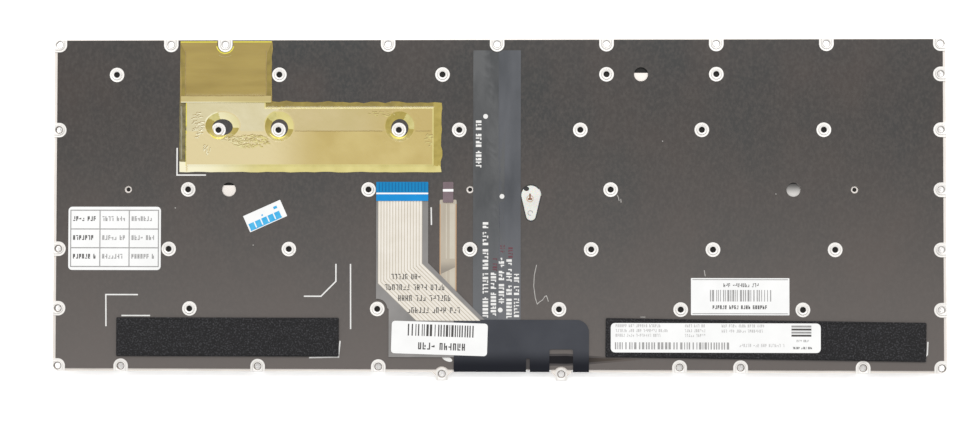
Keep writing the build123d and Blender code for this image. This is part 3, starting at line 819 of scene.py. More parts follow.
@dataclass
class BasePlate:
    """Pressed aluminium plate with stud bosses, edge pads and two screw tabs."""

    corner: float = 2.0
    edge_reach: float = 2.5
    hole: float = 0.95
    thread: float = 0.72
    thread_pitch: float = 0.45
    pad: float = 1.7
    flange: float = 2.32
    flange_drop: float = 0.03
    boss_top: float = 1.55
    tab_reach: float = 2.6
    tab_half: float = 1.9
    tab_flare: float = 1.3
    fold_depth: float = 0.775
    root: Point = (-13.6, 29.0)
    port: float = 2.2
    port_rises: Place = (1.3, 0.45, 1.9)
    pin: float = 0.68
    pin_opening: float = 1.15
    tab_corner: float = 0.3
    tab_play: float = 0.05
    port_corner: float = 0.2
    port_play: float = 0.02
    overrun: float = 0.1
    flange_width: float = 0.5
    countersink: Point = (0.28, 0.2)
    thread_start: float = 0.7
    thread_flank: float = 0.4
    bore_edges: Point = (0.05, 0.2)

    def __post_init__(self) -> None:
        """Read the plate's levels, studs, ports and pins from the frame."""
        (self.left, self.tab_end, self.low), (self.right, self.top, self.high) = reach("base_plate")
        self.face = reach("light_guide")[0][2]
        self.foot = self.tab_end + self.tab_reach
        holes = [rim for rim in rims("base_plate", self.high) if abs(rim[2] - self.hole) < TOUCH]
        self.studs = [self.stud(x, y) for x, y, _, _ in holes]
        openings = rims("back_film", reach("back_film")[1][2])
        self.ports = sorted(rim[:2] for rim in openings if abs(rim[2] - self.port) < TOUCH)
        self.film = reach("back_film")[1][2]
        self.pins = [rim[:2] for rim in openings if abs(rim[2] - self.pin_opening) < TOUCH]
        self.window = max((rim for rim in openings if rim[2] < 2 * self.port), key=lambda rim: rim[3])

    def stud(self, x: float, y: float) -> Stud:
        """Describe the stud hole at a place.

        Args:
            x: place along X.
            y: place along Y.

        Returns:
            The stud with the plate edges that it stands at.
        """
        side = (self.right - x < self.edge_reach) - (x - self.left < self.edge_reach)
        end = (self.top - y < self.edge_reach) - (y - self.foot < self.edge_reach)
        return Stud(x, y, side, end, y - self.tab_end if y < self.foot else self.pad, self.corner)

    def outline_parts(self) -> tuple[list[Outline], list[Outline]]:
        """Outlines that make the flat plate.

        Returns:
            Outlines to keep, and outlines to cut.
        """
        keep = [rectangle(self.left, self.foot, self.right, self.top, self.corner)]
        tabs = sorted(stud.x for stud in self.studs if stud.y < self.foot)
        inner = self.foot + self.fold_depth
        half, root = self.tab_half, self.tab_half + self.tab_flare
        for x in tabs:
            keep.append(rectangle(x - half, self.tab_end, x + half, inner, self.tab_corner))
            flare = [(x - half, self.foot - self.tab_flare), (x + half, self.foot - self.tab_flare)]
            flare += [(x + root, self.foot), (x + root, inner), (x - root, inner), (x - root, self.foot)]
            keep.append(flare)
        tab, under = tabs[1], self.foot - self.overrun
        cut = [rectangle(self.root[0], under, tab - root, inner)]
        cut += [rectangle(tab + root, under, self.root[1], inner)]
        cut += [ring(stud.x, stud.y, self.hole) for stud in self.studs]
        cut += [ring(x, y, self.pin) for x, y in self.pins]
        for (x, y), rise in zip(self.ports, self.port_rises):
            low = y + rise
            cut.append(rectangle(x - self.port, low, x + self.port, low + 2 * self.port, self.port_corner))
        return keep, cut

    def raised(self, stud: Stud) -> list[list[Place]]:
        """Rings of the boss or pad round a hole.

        Args:
            stud: the hole.

        Returns:
            Rings from the foot, over the top and down the hole.
        """
        level = self.film - self.flange_drop
        flange = self.tab_half - self.tab_play if stud.y < self.foot else self.flange
        top = min(self.boss_top, flange - self.flange_width)
        # Each step has a radius, a distance back from the plate's edges and a height.
        steps = [
            (flange, 0.0, self.face),
            (flange, 0.0, level - 0.05),
            (flange - 0.06, 0.04, level),
            (top + 0.4, 0.06, level),
            (top + 0.22, 0.08, level - 0.03),
            (top + 0.02, 0.12, self.high - 0.1),
            (top - 0.1, 0.2, self.high),
        ]
        rings = [[(x, y, z) for x, y in stud.outline(radius, back)] for radius, back, z in steps]
        wide, deep = self.countersink
        hole = [(self.hole + wide, self.high), (self.hole, self.high - deep)]
        level = self.high - deep - self.thread_start * self.thread_pitch
        while stud.inner and level > self.face + self.thread_pitch:
            hole += [(self.thread, level), (self.hole, level - self.thread_flank * self.thread_pitch)]
            level -= self.thread_pitch
        hole.append((self.hole, self.face))
        return rings + [[(x, y, z) for x, y in ring(stud.x, stud.y, radius, sides=40)] for radius, z in hole]

    def bored(self, x: float, y: float) -> PlateTone:
        """Number of the finish of a boss at a point.

        Args:
            x: place along X.
            y: place along Y.

        Returns:
            Paler painted shade in the holes of the upper and right edges, deeper painted shade in the others and
            pad round them.
        """
        for stud in self.studs:
            if math.hypot(x - stud.x, y - stud.y) < self.hole + self.bore_edges[not stud.inner]:
                # Holes at the upper and right edges face the light and take the paler painted shade.
                bright = stud.end > 0 or stud.side > 0 == stud.end
                return PlateTone.LIT_BORE if bright else PlateTone.BORE
        return PlateTone.PAD

    def build(self) -> bpy.types.Object:
        """Make the plate with its bosses and pads.

        Returns:
            The plate.
        """
        shape = Shape()
        shape.sheet(*self.outline_parts(), self.low, self.face, PlateTone.SHEET)
        flat = len(shape.faces)
        for stud in self.studs:
            shape.loft(self.raised(stud), closed=True)
        shape.tone(flat, self.bored)
        (x, y), rise = self.ports[2], self.port_rises[2]
        shaded = [(px, min(py, y + rise)) for px, py in ring(x, y, self.port - self.port_play)]
        shape.ink([shaded], self.face, PlateTone.SHADE)
        finishes = [ALUMINIUM, ALUMINIUM_SHEET, ALUMINIUM_BORE, PORT_SHADE, ALUMINIUM_LIT_BORE]
        return shape.piece("pressed_plate", finishes, "plate", ["base_plate"])


@dataclass
class BackFilm:
    """Black film over the back with its openings and its printed guide lines."""

    plate: BasePlate
    opening: float = 2.35
    drop_top: float = 3.2
    drop_end: float = 1.7
    line: float = 0.42
    lines: tuple[tuple[Point, ...], ...] = (
        ((-113.4, -27.0), (-123.6, -27.0), (-123.5, -37.0)),
        ((-118.6, -33.6), (-109.5, -33.6)),
        ((-49.3, -41.4), (-49.8, -46.5), (-59.1, -46.7)),
        ((-50.7, -17.2), (-50.7, -22.7), (-55.4, -27.4), (-60.8, -27.4)),
        ((-46.1, -17.2), (-46.0, -37.7)),
        ((-20.7, 0.65), (-20.6, -4.9)),
        ((134.5, -41.2), (134.3, -45.2), (133.7, -45.8)),
        ((-101.2, 19.4), (-101.2, 10.8), (-92.0, 10.8)),
    )
    scribble: tuple[Point, ...] = (
        (12.5, -17.4), (11.8, -20.5), (11.6, -24.0), (12.1, -27.8), (12.7, -29.7),
        (13.6, -28.9), (14.4, -28.4), (15.1, -27.3), (15.6, -27.1), (15.9, -27.9), (16.2, -28.9),
    )
    scratches: tuple[tuple[Point, ...], ...] = (
        ((37.8, 4.6), (38.2, 3.6), (38.4, 2.7)),
        ((38.9, 3.3), (39.0, 2.2)),
        ((65.0, -19.0), (65.3, -20.9)),
        ((45.0, -33.7), (46.6, -33.7)),
    )
    # Width of the painted shadow along the edge of the drop-shaped window.
    rim: float = 0.35
    # Painted shade where the film dips along the lower edge: a half-shaded band and a darker core, with a
    # half-shaded patch at the slit.
    bend: tuple[Point, ...] = (
        (15.4, -49.0), (22.0, -49.0), (28.6, -48.6), (46.0, -47.0),
        (28.6, -45.8), (22.0, -45.2), (15.4, -45.3),
    )
    slit_shade: tuple[Point, ...] = ((9.0, -50.0), (10.6, -50.0), (10.6, -45.6), (9.0, -45.6))
    bend_core: tuple[Point, ...] = (
        (15.4, -48.3), (22.0, -48.4), (28.6, -48.0), (40.0, -47.0),
        (28.6, -46.4), (22.0, -45.9), (15.4, -46.0),
    )
    specks: tuple[Point, ...] = ((-101.7, 0.4), (87.4, 4.9), (-76.9, -11.3), (52.0, 21.5), (-64.0, -14.0))
    speck: float = 0.18
    pen: float = 0.22
    spot: Point = (1.75, 0.75)
    spot_place: Place = (-15.6, -46.9, -24.0)
    shade_thickness: float = 0.006

    def drop(self) -> Outline:
        """Outline of the drop-shaped light window.

        Returns:
            Two round ends joined by their common tangents.
        """
        x, y, _, half = self.plate.window
        top, end = y + half - self.drop_top, y - half + self.drop_end
        slope = math.asin((self.drop_top - self.drop_end) / (top - end))
        upper = [-slope + (math.pi + 2 * slope) * step / 20 for step in range(21)]
        lower = [math.pi + slope + (math.pi - 2 * slope) * step / 14 for step in range(15)]
        wide, small = self.drop_top, self.drop_end
        made = [(x + wide * math.cos(turn), top + wide * math.sin(turn)) for turn in upper]
        return made + [(x + small * math.cos(turn), end + small * math.sin(turn)) for turn in lower]

    def build(self) -> None:
        """Make the film and the marks that lie on it."""
        (left, low, under), (right, high, over) = reach("back_film")
        cut = [stud.outline(self.opening) for stud in self.plate.studs]
        cut += [ring(x, y, self.plate.port) for x, y in self.plate.ports]
        cut += [ring(x, y, self.plate.pin_opening) for x, y in self.plate.pins]
        film = Shape()
        film.sheet([rectangle(left, low, right, high)], [*cut, self.drop()], under, over)
        film.piece("black_back_film", [BACK_FILM], "film", ["back_film"])
        marks = Shape()
        marks.ink([stroke(line, self.line) for line in self.lines], over, 0)
        spot = Shape()
        spot.ink([ring(0.0, 0.0, *self.spot)], over, 0)
        marks.put(spot, *self.spot_place)
        marks.ink([stroke(line, self.pen) for line in (self.scribble, *self.scratches)], over, 1)
        marks.ink([ring(x, y, self.speck, sides=8) for x, y in self.specks], over, 1)
        drop = self.drop()
        # Painted shadow of the film's cut edge along part of the drop-shaped window.
        marks.ink([stroke([*drop[5:], *drop[:2]], self.rim)], over, 2)
        # Painted shade where the film dips at the lower edge and under the slit.
        marks.ink([self.bend, self.slit_shade], over, 4, self.shade_thickness)
        marks.ink([self.bend_core], over + self.shade_thickness, 3, self.shade_thickness)
        marks.piece("film_print_and_painted_shade", [INK_WHITE, INK_PEN, INK_DARK_AND_PAINTED_SHADOW, FILM_SHADE, FILM_HALF_SHADE], "film")


@dataclass
class LightGuide:
    """Frosted sheet under the film, which keeps its solid and has marks of its own."""

    node: str = "light_guide"
    dot: Rim = (9.3, 6.5, 0.85, 0.7)
    halo: Place = (10.4, 3.4, 1.0)
    halo_thickness: float = 0.008
    stem: tuple[Rim, Rim] = ((10.15, 3.2, 10.65, 5.0), (9.75, 3.0, 11.05, 3.55))
    hook: Place = (10.5, -1.1, 0.75)
    line: float = 0.2

    def build(self) -> None:
        """Make the marks that are seen through the drop-shaped window."""
        level = reach(self.node)[1][2]
        marks = Shape()
        marks.ink([ring(*self.dot)], level, 0)
        marks.ink([stroke(ring(*self.halo), self.line)], level, 3, self.halo_thickness)
        marks.sheet([rectangle(*part) for part in self.stem], [], level, level + INK_THICKNESS, 1)
        marks.ink([stroke(ring(*self.hook, sides=10)[:-1], self.line)], level, 2)
        marks.piece("window_marks", [INK_DARK_AND_PAINTED_SHADOW, INK_RUST, INK_GREY, FLEX_AMBER], "guide")

    def dress(self) -> None:
        """Give the sheet its finish."""
        materials = frame["nodes"][self.node].data.materials
        materials.clear()
        materials.append(LIGHT_GUIDE.material())


class Ink(IntEnum):
    """Inks of a label in the order of its slots, after the paper."""

    BLACK = 1
    GREY = 2
    BLUE = 3
    FAINT = 4


@dataclass(frozen=True)
class PrintRow:
    """A row of unreadable print: groups of small upright bars, some with a foot or a head bar."""

    x: float
    y: float
    length: float
    height: float
    ink: int = Ink.BLACK
    weight: float = 0.2
    seed: int = 1

    def draw(self, shape: Shape, level: float) -> None:
        """Add the row to a shape.

        Args:
            shape: shape that takes the row.
            level: height of the printed surface.
        """
        draw = random.Random(self.seed)
        wide, thick = self.height * 0.44, self.height * self.weight
        x, left = 0.0, draw.randint(3, 8)
        while x < self.length - wide:
            foot = draw.choice((0.0, 0.0, 0.35)) * self.height
            head = draw.choice((0.65, 1.0, 1.0)) * self.height
            link = draw.choice((0.0, 0.45, 1.0)) * (self.height - thick)
            bars = [
                (0.0, 0.0, thick, self.height),
                (wide - thick, foot, wide, head),
                (0.0, link, wide, link + thick),
            ]
            spots = [
                rectangle(self.x + x + low_x, self.y + low_y, self.x + x + high_x, self.y + high_y)
                for low_x, low_y, high_x, high_y in bars[draw.randint(0, 1) :]
            ]
            shape.sheet(spots, [], level, level + INK_THICKNESS, self.ink)
            left -= 1
            x += wide * (1.45 if left > 0 else 2.6)
            left = left if left > 0 else draw.randint(3, 8)


@dataclass(frozen=True)
class Barcode:
    """A field of upright bars of uneven width that carries no code."""

    x: float
    y: float
    length: float
    height: float
    ink: int = Ink.BLACK
    bar: float = 0.32
    seed: int = 1

    def draw(self, shape: Shape, level: float) -> None:
        """Add the bars to a shape.

        Args:
            shape: shape that takes the bars.
            level: height of the printed surface.
        """
        draw = random.Random(self.seed)
        x = 0.0
        while x < self.length:
            wide = self.bar * draw.choice((0.7, 1.0, 1.0, 1.8))
            start = self.x + x
            bar = rectangle(start, self.y, start + wide, self.y + self.height)
            shape.ink([bar], level, self.ink)
            x += wide + self.bar * draw.choice((0.9, 1.3, 2.0))


@dataclass(frozen=True)
class Patch:
    """A plain printed rectangle."""

    left: float
    low: float
    right: float
    high: float
    ink: int = Ink.BLACK

    def draw(self, shape: Shape, level: float) -> None:
        """Add the rectangle to a shape."""
        shape.ink([rectangle(self.left, self.low, self.right, self.high)], level, self.ink)


@dataclass(frozen=True)
class Ruling:
    """Ruled lines of a table about the origin."""

    wide: float
    deep: float
    columns: int
    rows: int
    line: float
    ink: int = Ink.GREY

    def draw(self, shape: Shape, level: float) -> None:
        """Add the lines to a shape.

        Args:
            shape: shape that takes the lines.
            level: height of the printed surface.
        """
        wide, deep, half = self.wide, self.deep, self.line / 2
        across = [-wide + 2 * wide * index / self.columns for index in range(self.columns + 1)]
        along = [-deep + 2 * deep * index / self.rows for index in range(self.rows + 1)]
        lines = [rectangle(x - half, -deep - half, x + half, deep + half) for x in across]
        lines += [rectangle(-wide - half, y - half, wide + half, y + half) for y in along]
        shape.sheet(lines, [], level, level + INK_THICKNESS, self.ink)


@dataclass
class Label:
    """A paper label on the back with generic print."""

    name: str
    node: str
    length: float
    depth: float
    corner: float
    turn: float = 0.0
    marks: Sequence[PrintRow | Barcode | Patch | Ruling] = ()

    def build(self) -> bpy.types.Object:
        """Make the label where its node lies.

        Returns:
            The label.
        """
        (left, low, under), (right, high, over) = reach(self.node)
        paper = Shape()
        half, deep, level = self.length / 2, self.depth / 2, over - INK_THICKNESS
        paper.sheet([rectangle(-half, -deep, half, deep, self.corner)], [], under, level)
        for item in self.marks:
            item.draw(paper, level)
        shape = Shape()
        shape.put(paper, (left + right) / 2, (low + high) / 2, self.turn)
        finishes = [PAPER, INK_BLACK, INK_GREY, INK_BLUE, INK_FAINT]
        return shape.piece(self.name, finishes, "label", [self.node])


def back_labels() -> list[Label]:
    """The five labels on the back.

    Returns:
        The labels with their print.
    """
    black, grey, blue, faint = Ink
    cells = [(x, y) for y in (5.5, -0.5, -6.4) for x in (-13.2, -3.9, 5.4)]
    test = [
        PrintRow(x, y, 7.4, 1.5, grey if index % 3 else black, 0.2, 3 + index)
        for index, (x, y) in enumerate(cells)
    ]
    test.append(Ruling(13.95, 8.9, 3, 3, 0.34))
    sticker = [Patch(-5.9 + 2.2 * index, -2.2, -4.1 + 2.2 * index, -0.2, blue) for index in range(5)]
    sticker += [Patch(-6.0, -2.55, 4.8, -2.2, blue), Patch(3.4, 0.8, 4.6, 1.6, blue)]
    sticker += [Patch(-1.0, 0.4, -0.5, 0.9, blue)]
    ribbon = [Barcode(-10.0, 0.6, 20.9, 3.7, black, 0.4, 5), PrintRow(-6.6, -3.6, 15.0, 2.2, black, 0.17, 8)]
    serial = [PrintRow(-5.2, 3.0, 11.4, 1.2, black, 0.16, 2), Barcode(-9.4, -1.5, 18.8, 3.6, grey, 0.34, 7)]
    serial += [PrintRow(-8.6, -3.9, 17.0, 1.2, black, 0.2, 9)]
    serial += [Patch(-14.9, 5.2, 14.9, 5.45, grey), Patch(-14.9, -5.45, 14.9, -5.2, grey)]
    rating = [
        PrintRow(-31.2, 3.3 - 1.5 * row, 14 + 3 * (row == 1), 0.95, faint, 0.2, 11 + row) for row in range(3)
    ]
    rating += [PrintRow(-9.6, 3.3 - 1.5 * row, 6.8, 0.95, faint, 0.2, 21 + row) for row in range(3)]
    rating += [PrintRow(1.9, 3.3 - 1.6 * row, 13.4, 0.95, faint, 0.2, 31 + row) for row in range(2)]
    rating += [PrintRow(7.4, -2.8, 14.0, 1.0, faint, 0.18, 41)]
    rating += [Barcode(-31.4, -3.6, 35.4, 2.2, grey, 0.4, 15)]
    rating += [
        Patch(23.6, 0.5 + 0.95 * row, 29.8, 1.1 + 0.95 * row, grey if row % 2 else black) for row in range(4)
    ]
    rating += [PrintRow(25.2, -1.2, 4.0, 0.7, grey, 0.2, 51), PrintRow(24.0, -3.4, 6.2, 0.7, black, 0.2, 52)]
    return [
        Label("test_table_label", "test_label", 29.4, 20.0, 1.2, 0.0, test),
        Label("tilted_sticker", "small_sticker", 12.8, 5.6, 0.15, 24.0, sticker),
        Label("ribbon_barcode_label", "ribbon_label", 30.2, 10.2, 1.0, -1.7, ribbon),
        Label("serial_barcode_label", "serial_label", 30.7, 11.6, 0.2, 0.0, serial),
        Label("rating_plate_label", "rating_label", 65.4, 9.2, 1.3, 0.0, rating),
    ]


@dataclass
class LightStrip:
    """Grey light strip down the back with its narrow tail and contact end."""

    plate: BasePlate
    half: float = 7.5
    seam: float = 0.5
    tail: Point = (-18.0, -12.7)
    head: Point = (-17.0, -13.7)
    link: float = 2.8
    shoulder: float = 0.9
    boss_clearance: float = 2.6
    dots: tuple[Point, ...] = ((-3.6, 29.3), (1.6, 4.1), (1.1, -31.6))
    rows: tuple[tuple[float, float, float, float], ...] = (
        (-4.9, 13.2, 15.6, 1.75), (-2.7, -34.0, 30.6, 1.75), (-0.2, -33.4, 13.6, 1.7),
        (2.3, -29.6, 15.6, 1.7), (4.7, -34.2, 18.6, 1.7), (7.0, -33.8, 13.8, 1.6),
    )
    # Patch of painted shade where the tail bends.
    tail_bend_shade: tuple[Point, ...] = ((-17.6, -15.5), (-13.1, -15.5), (-13.1, -18.2), (-17.6, -20.3))
    ripple: float = 0.09
    ripple_size: Point = (2.2, 4.5)
    ripple_reach: float = 1.5
    ripple_end: float = -10.0
    ripple_slant: float = 0.045
    ripple_step: float = 0.45
    cover_thickness: float = 0.03
    band_thickness: float = 0.012
    bend_shade_thickness: float = 0.006
    dot: float = 0.75
    print_weight: float = 0.22
    corner: float = 0.3
    # Each band has its place from the tail's middle, its width and the number of its finish.
    bands: tuple[tuple[float, float, int], ...] = (
        (-2.5, 0.3, 3), (2.5, 0.3, 3), (-0.55, 0.3, 4), (1.3, 1.6, 4),
    )
    wine_rows: tuple[tuple[float, float, float, float], ...] = (
        (0.1, -19.4, 4.2, 1.4), (2.5, -13.6, 3.2, 1.4), (5.0, -15.2, 3.4, 1.4),
    )

    def lift(self, x: float, y: float) -> float:
        """Height of the slanted ripples along the seam at a point.

        Args:
            x: place along X.
            y: place along Y.

        Returns:
            Height above the flat strip, which is 0 at the dots and past the last ripple.
        """
        across = (0.8 * x + 0.6 * y) / self.ripple_size[0]
        along = (0.8 * y - 0.6 * x) / self.ripple_size[1]
        ridge = 1 - abs(noise.noise(Vector((across, along, 2.0))))
        band = bell(x + self.seam + self.ripple_slant * y, self.ripple_reach)
        clear = min(math.hypot(x - px, y - py) for px, py in self.dots)
        return self.ripple * ridge**3 * band * smooth((y - self.ripple_end) / 6) * smooth(clear - 0.7)

    def build(self) -> None:
        """Make the strip, its print, its tail and the stiffened contact end."""
        (_, foot, under), (_, top, over) = reach("led_flex")
        head_low, head_top = reach("led_tail_stiffener")[0][1], reach("led_tail_stiffener")[1][1]
        bosses = [ring(stud.x, stud.y, self.boss_clearance) for stud in self.plate.studs if stud.inner]
        bosses += [stud.outline(self.boss_clearance) for stud in self.plate.studs if stud.end > 0]
        strip = Shape()
        coat, cover = (rectangle(side, foot, self.half, top, self.corner) for side in (-self.half, self.seam))
        seeds = grid(-self.half + 1, self.ripple_end, self.seam - 0.1, top - 0.5, self.ripple_step)
        strip.sheet([coat], bosses, under, over, 0, seeds, lambda x, y: self.lift(x, y) * (x < self.seam))
        strip.sheet([rectangle(self.tail[0], foot, -self.half, foot + self.link)], bosses, under, over, 0)
        seeds = grid(self.seam + 0.1, self.ripple_end, self.half - 1, top - 0.5, self.ripple_step)
        strip.sheet([cover], bosses, over, over + self.cover_thickness, 1, seeds, self.lift)
        tail = rectangle(self.tail[0], foot + self.link, self.tail[1], head_low + self.shoulder, 0.4)
        strip.sheet([tail], bosses, under, over, 2)
        middle = (self.tail[0] + self.tail[1]) / 2
        for shift, width, finish in self.bands:
            line = [(middle + shift, foot + self.link + 0.4), (middle + shift, head_low - 0.5)]
            strip.ink([stroke(line, width)], over, finish, self.band_thickness)
        # Painted shade across the tail where it bends.
        strip.ink([self.tail_bend_shade], over + self.band_thickness, 7, self.bend_shade_thickness)
        end = rectangle(self.head[0], head_low, self.head[1], head_top, self.corner)
        strip.sheet([end], [], under, over, 2)
        strip.ink([ring(x, y, self.dot) for x, y in self.dots], over + self.cover_thickness, 5)
        for seed, (x, y, length, height) in enumerate([*self.rows, *self.wine_rows]):
            row = Shape()
            ink = 5 + (seed >= len(self.rows))
            level = over + self.cover_thickness * (x > self.seam)
            PrintRow(0.0, 0.0, length, height, ink, self.print_weight, 60 + seed).draw(row, level)
            strip.put(row, x, y, 90)
        finishes = [FLEX_COAT, FLEX_COVER, FLEX_TAIL, FLEX_AMBER, FLEX_TRACE]
        finishes += [INK_WHITE, INK_WINE, FLEX_BEND_SHADE]
        strip.piece("light_strip", finishes, "flex", ["led_flex"])
        self.contact_end()

    def contact_end(self) -> bpy.types.Object:
        """Make the stiffener of the contact end with its pale band.

        Returns:
            The stiffener.
        """
        (left, low, under), (right, high, over) = reach("led_tail_stiffener")
        end = Shape()
        end.sheet([rectangle(left, low, right, high, self.corner)], [], under, over, 0)
        band = low + 0.53 * (high - low)
        end.ink([rectangle(left, band, right, band + 0.8)], over, 1)
        return end.piece("light_tail_stiffener", [FLEX_HEAD, PAPER], "flex_stiffener", ["led_tail_stiffener"])


@dataclass
class RibbonTail:
    """Switch membrane with its tail folded over the lower edge onto the back."""

    plate: BasePlate
    inset: float = 3.6
    sheet_thickness: float = 0.2
    ribbon: Point = (-38.0, -21.6)
    traces: Point = (-37.4, -23.5)
    trace_count: int = 15
    trace_bends: Point = (-23.3, -17.0)
    trace_ends: Point = (-25.4, -5.1)
    bend: float = -16.85
    cover_left: float = -34.0
    cover_foot: float = -46.45
    root: Point = (-13.5, 28.9)
    root_top: float = -34.65
    root_corner: float = 3.8
    boss_clearance: float = 3.2
    slit: Point = (9.2, 10.4)
    slit_length: float = 4.4
    notch_half: float = 3.7
    notch_length: float = 7.3
    rows: tuple[tuple[float, float, float, float], ...] = (
        (-33.2, -22.0, 9.4, 1.7), (-35.2, -25.4, 19.2, 1.8),
        (-31.0, -28.8, 17.4, 1.8), (-28.0, -32.6, 16.8, 1.8),
    )
    trace_share: Point = (0.14, 0.86)
    trace_thickness: float = 0.012
    print_weight: float = 0.15

    def tail_outlines(self) -> tuple[Outline, Outline]:
        """Outlines of the ribbon with its cover and of the dark root.

        Returns:
            The ribbon's and the root's outline.
        """
        left, right = self.ribbon
        top, run = reach("tail_stiffener")[1][1], right + self.bend - self.root_top
        boss = self.root_top + 3.3
        ribbon = [(left, top), (left, boss + 2.2), (self.cover_left, boss)]
        ribbon += [(self.cover_left, self.cover_foot), (run, self.cover_foot), (run, self.root_top)]
        ribbon += [(right, self.bend), (right, top)]
        low, radius = self.plate.foot + self.plate.fold_depth, self.root_corner
        turns = [math.pi / 2 * step / 8 for step in range(9)]
        end, high = self.root[1], self.root_top
        corner = [(end - radius + radius * math.cos(t), high - radius + radius * math.sin(t)) for t in turns]
        return ribbon, [(self.root[0], low), (end, low), *corner, (self.root[0], high)]

    def cuts(self) -> list[Outline]:
        """Outlines of the slit and of the notch at the screw tab.

        Returns:
            Both outlines, which start below the plate's lower edge.
        """
        foot, tab = self.plate.foot - 1, self.tab()
        top = foot + 1 + self.notch_length
        notch = rectangle(tab - self.notch_half, foot, tab + self.notch_half, top, 0.5)
        return [rectangle(self.slit[0], foot, self.slit[1], foot + 1 + self.slit_length), notch]

    def tab(self) -> float:
        """Place of the right screw tab along X."""
        return max(stud.x for stud in self.plate.studs if stud.y < self.plate.foot)

    def fold(self, shape: Shape, under: float, over: float) -> None:
        """Add the half turn round the lower edge in the stretches between its cuts.

        Args:
            shape: shape that takes the fold.
            under: lower face of the membrane.
            over: upper face of the tail.
        """
        outer = (over - under) / 2
        inner = outer - self.sheet_thickness
        y, z = self.plate.foot + self.plate.fold_depth, (over + under) / 2
        turns = [math.pi / 2 + math.pi * step / 12 for step in range(13)]
        round_out = [(y + outer * math.cos(turn), z + outer * math.sin(turn)) for turn in turns]
        round_in = [(y + inner * math.cos(turn), z + inner * math.sin(turn)) for turn in turns]
        foot_end = self.plate.foot + self.inset
        section = [*round_out, (foot_end, under), (foot_end, under + self.sheet_thickness), *round_in[::-1]]
        notch = (self.tab() - self.notch_half, self.tab() + self.notch_half)
        stops = [self.root[0], *self.slit, *notch, self.root[1]]
        for start, end in zip(stops[::2], stops[1::2]):
            shape.loft([[(x, py, pz) for py, pz in section] for x in (start, end)], 2)

    def traces_outline(self, start: float, end: float) -> Outline:
        """Outline of a stretch of the printed ribbon between two shares of its width.

        Args:
            start: share where it starts.
            end: share where it ends.

        Returns:
            The outline.
        """
        top = reach("tail_stiffener")[0][1]
        lines = []
        for share in (start, end):
            x, bend, foot = (a + (b - a) * share for a, b in (self.traces, self.trace_bends, self.trace_ends))
            lines.append([(x, top), (x, bend), (foot, self.root_top - 0.3)])
        return lines[0] + lines[1][::-1]

    def build(self) -> None:
        """Make the membrane with its tail, traces and print."""
        (left, _, under), (right, high, over) = reach("switch_membrane")
        plate = self.plate
        shape = Shape()
        low = plate.foot + self.inset
        shape.sheet([rectangle(left, low, right, high, 1.0)], [], under, under + self.sheet_thickness, 0)
        self.fold(shape, under, over)
        ribbon, root = self.tail_outlines()
        bosses = [ring(stud.x, stud.y, self.boss_clearance) for stud in plate.studs if stud.inner]
        level = over - self.sheet_thickness
        shape.sheet([ribbon], [*bosses, root], level, over, 1)
        shape.sheet([root], [*bosses, *self.cuts()], level, over, 2)
        ground, top = over + self.trace_thickness, over + 2 * self.trace_thickness
        shape.sheet([self.traces_outline(0, 1)], bosses, over, ground, 3)
        for index in range(self.trace_count):
            start, end = ((index + share) / self.trace_count for share in self.trace_share)
            shape.sheet([self.traces_outline(start, end)], bosses, ground, top, 4)
        for seed, (x, y, length, height) in enumerate(self.rows):
            PrintRow(x, y, length, height, 5, self.print_weight, 80 + seed).draw(shape, top)
        finishes = [MEMBRANE, TAIL_CLEAR, TAIL_ROOT, RIBBON_GROUND, RIBBON_TRACE, INK_BLACK]
        shape.piece("membrane_and_ribbon", finishes, "membrane", ["switch_membrane"])
        self.stiffener()

    def stiffener(self) -> bpy.types.Object:
        """Make the blue stiffener with its pale line and the shadows of its contacts.

        Returns:
            The stiffener.
        """
        (left, low, under), (right, high, over) = reach("tail_stiffener")
        shape = Shape()
        shape.sheet([rectangle(left, low, right, high, 0.25)], [], under, over, 0)
        line = low + 0.35 * (high - low)
        shape.ink([rectangle(left, line, right, line + 0.5)], over, 1)
        shape.ink([rectangle(left, low, right, line)], over, 3, 0.008)
        pitch = (right - left - 1) / self.trace_count
        for index in range(self.trace_count):
            x = left + 0.8 + pitch * index
            shape.ink([rectangle(x, line + 0.8, x + 0.3, high - 0.2)], over, 2, 0.008)
        finishes = [STIFFENER, PAPER, STIFFENER_LINE, STIFFENER_PALE]
        return shape.piece("ribbon_stiffener", finishes, "tail_stiffener", ["tail_stiffener"])


@dataclass(frozen=True)
class Crumple:
    """A patch of fine wrinkles in the tape, placed from one of the bosses."""

    boss: int
    middle: Point
    half: Point
    count: int
    turn: float = 0.0

    def lines(self, boss: Point) -> list[Outline]:
        """Short wavy lines of the patch.

        Args:
            boss: place of the boss.

        Returns:
            Points of each line.
        """
        draw = random.Random(round(100 * self.middle[0]) + self.count)
        made = []
        for _ in range(self.count):
            away, round_it = math.sqrt(draw.random()), draw.uniform(0, 2 * math.pi)
            x = boss[0] + self.middle[0] + self.half[0] * away * math.cos(round_it)
            y = boss[1] + self.middle[1] + self.half[1] * away * math.sin(round_it)
            lean = math.radians(self.turn) + draw.uniform(-0.4, 0.4)
            step, line = draw.uniform(0.14, 0.4), []
            for index in range(5):
                aside = draw.uniform(-0.14, 0.14)
                along = step * (index - 2)
                turned_x = along * math.cos(lean) - aside * math.sin(lean)
                turned_y = along * math.sin(lean) + aside * math.cos(lean)
                line.append((x + turned_x, y + turned_y))
            made.append(line)
        return made


class Tone(IntEnum):
    """Finishes of the tape in the order of its slots."""

    LOW = 0
    HIGH = 1
    EDGE = 2
    HIGHLIGHT = 3
    PALE = 4
    CREASE_SHADE = 5
    BRIGHT = 6
    DOUBLE = 7
    SHADE = 8
    OLIVE = 9
    HALF_LIT_WALL = 10
    REFLECTION = 11
    FOLD_SHEEN = 12


Tear = tuple[float, float, int]


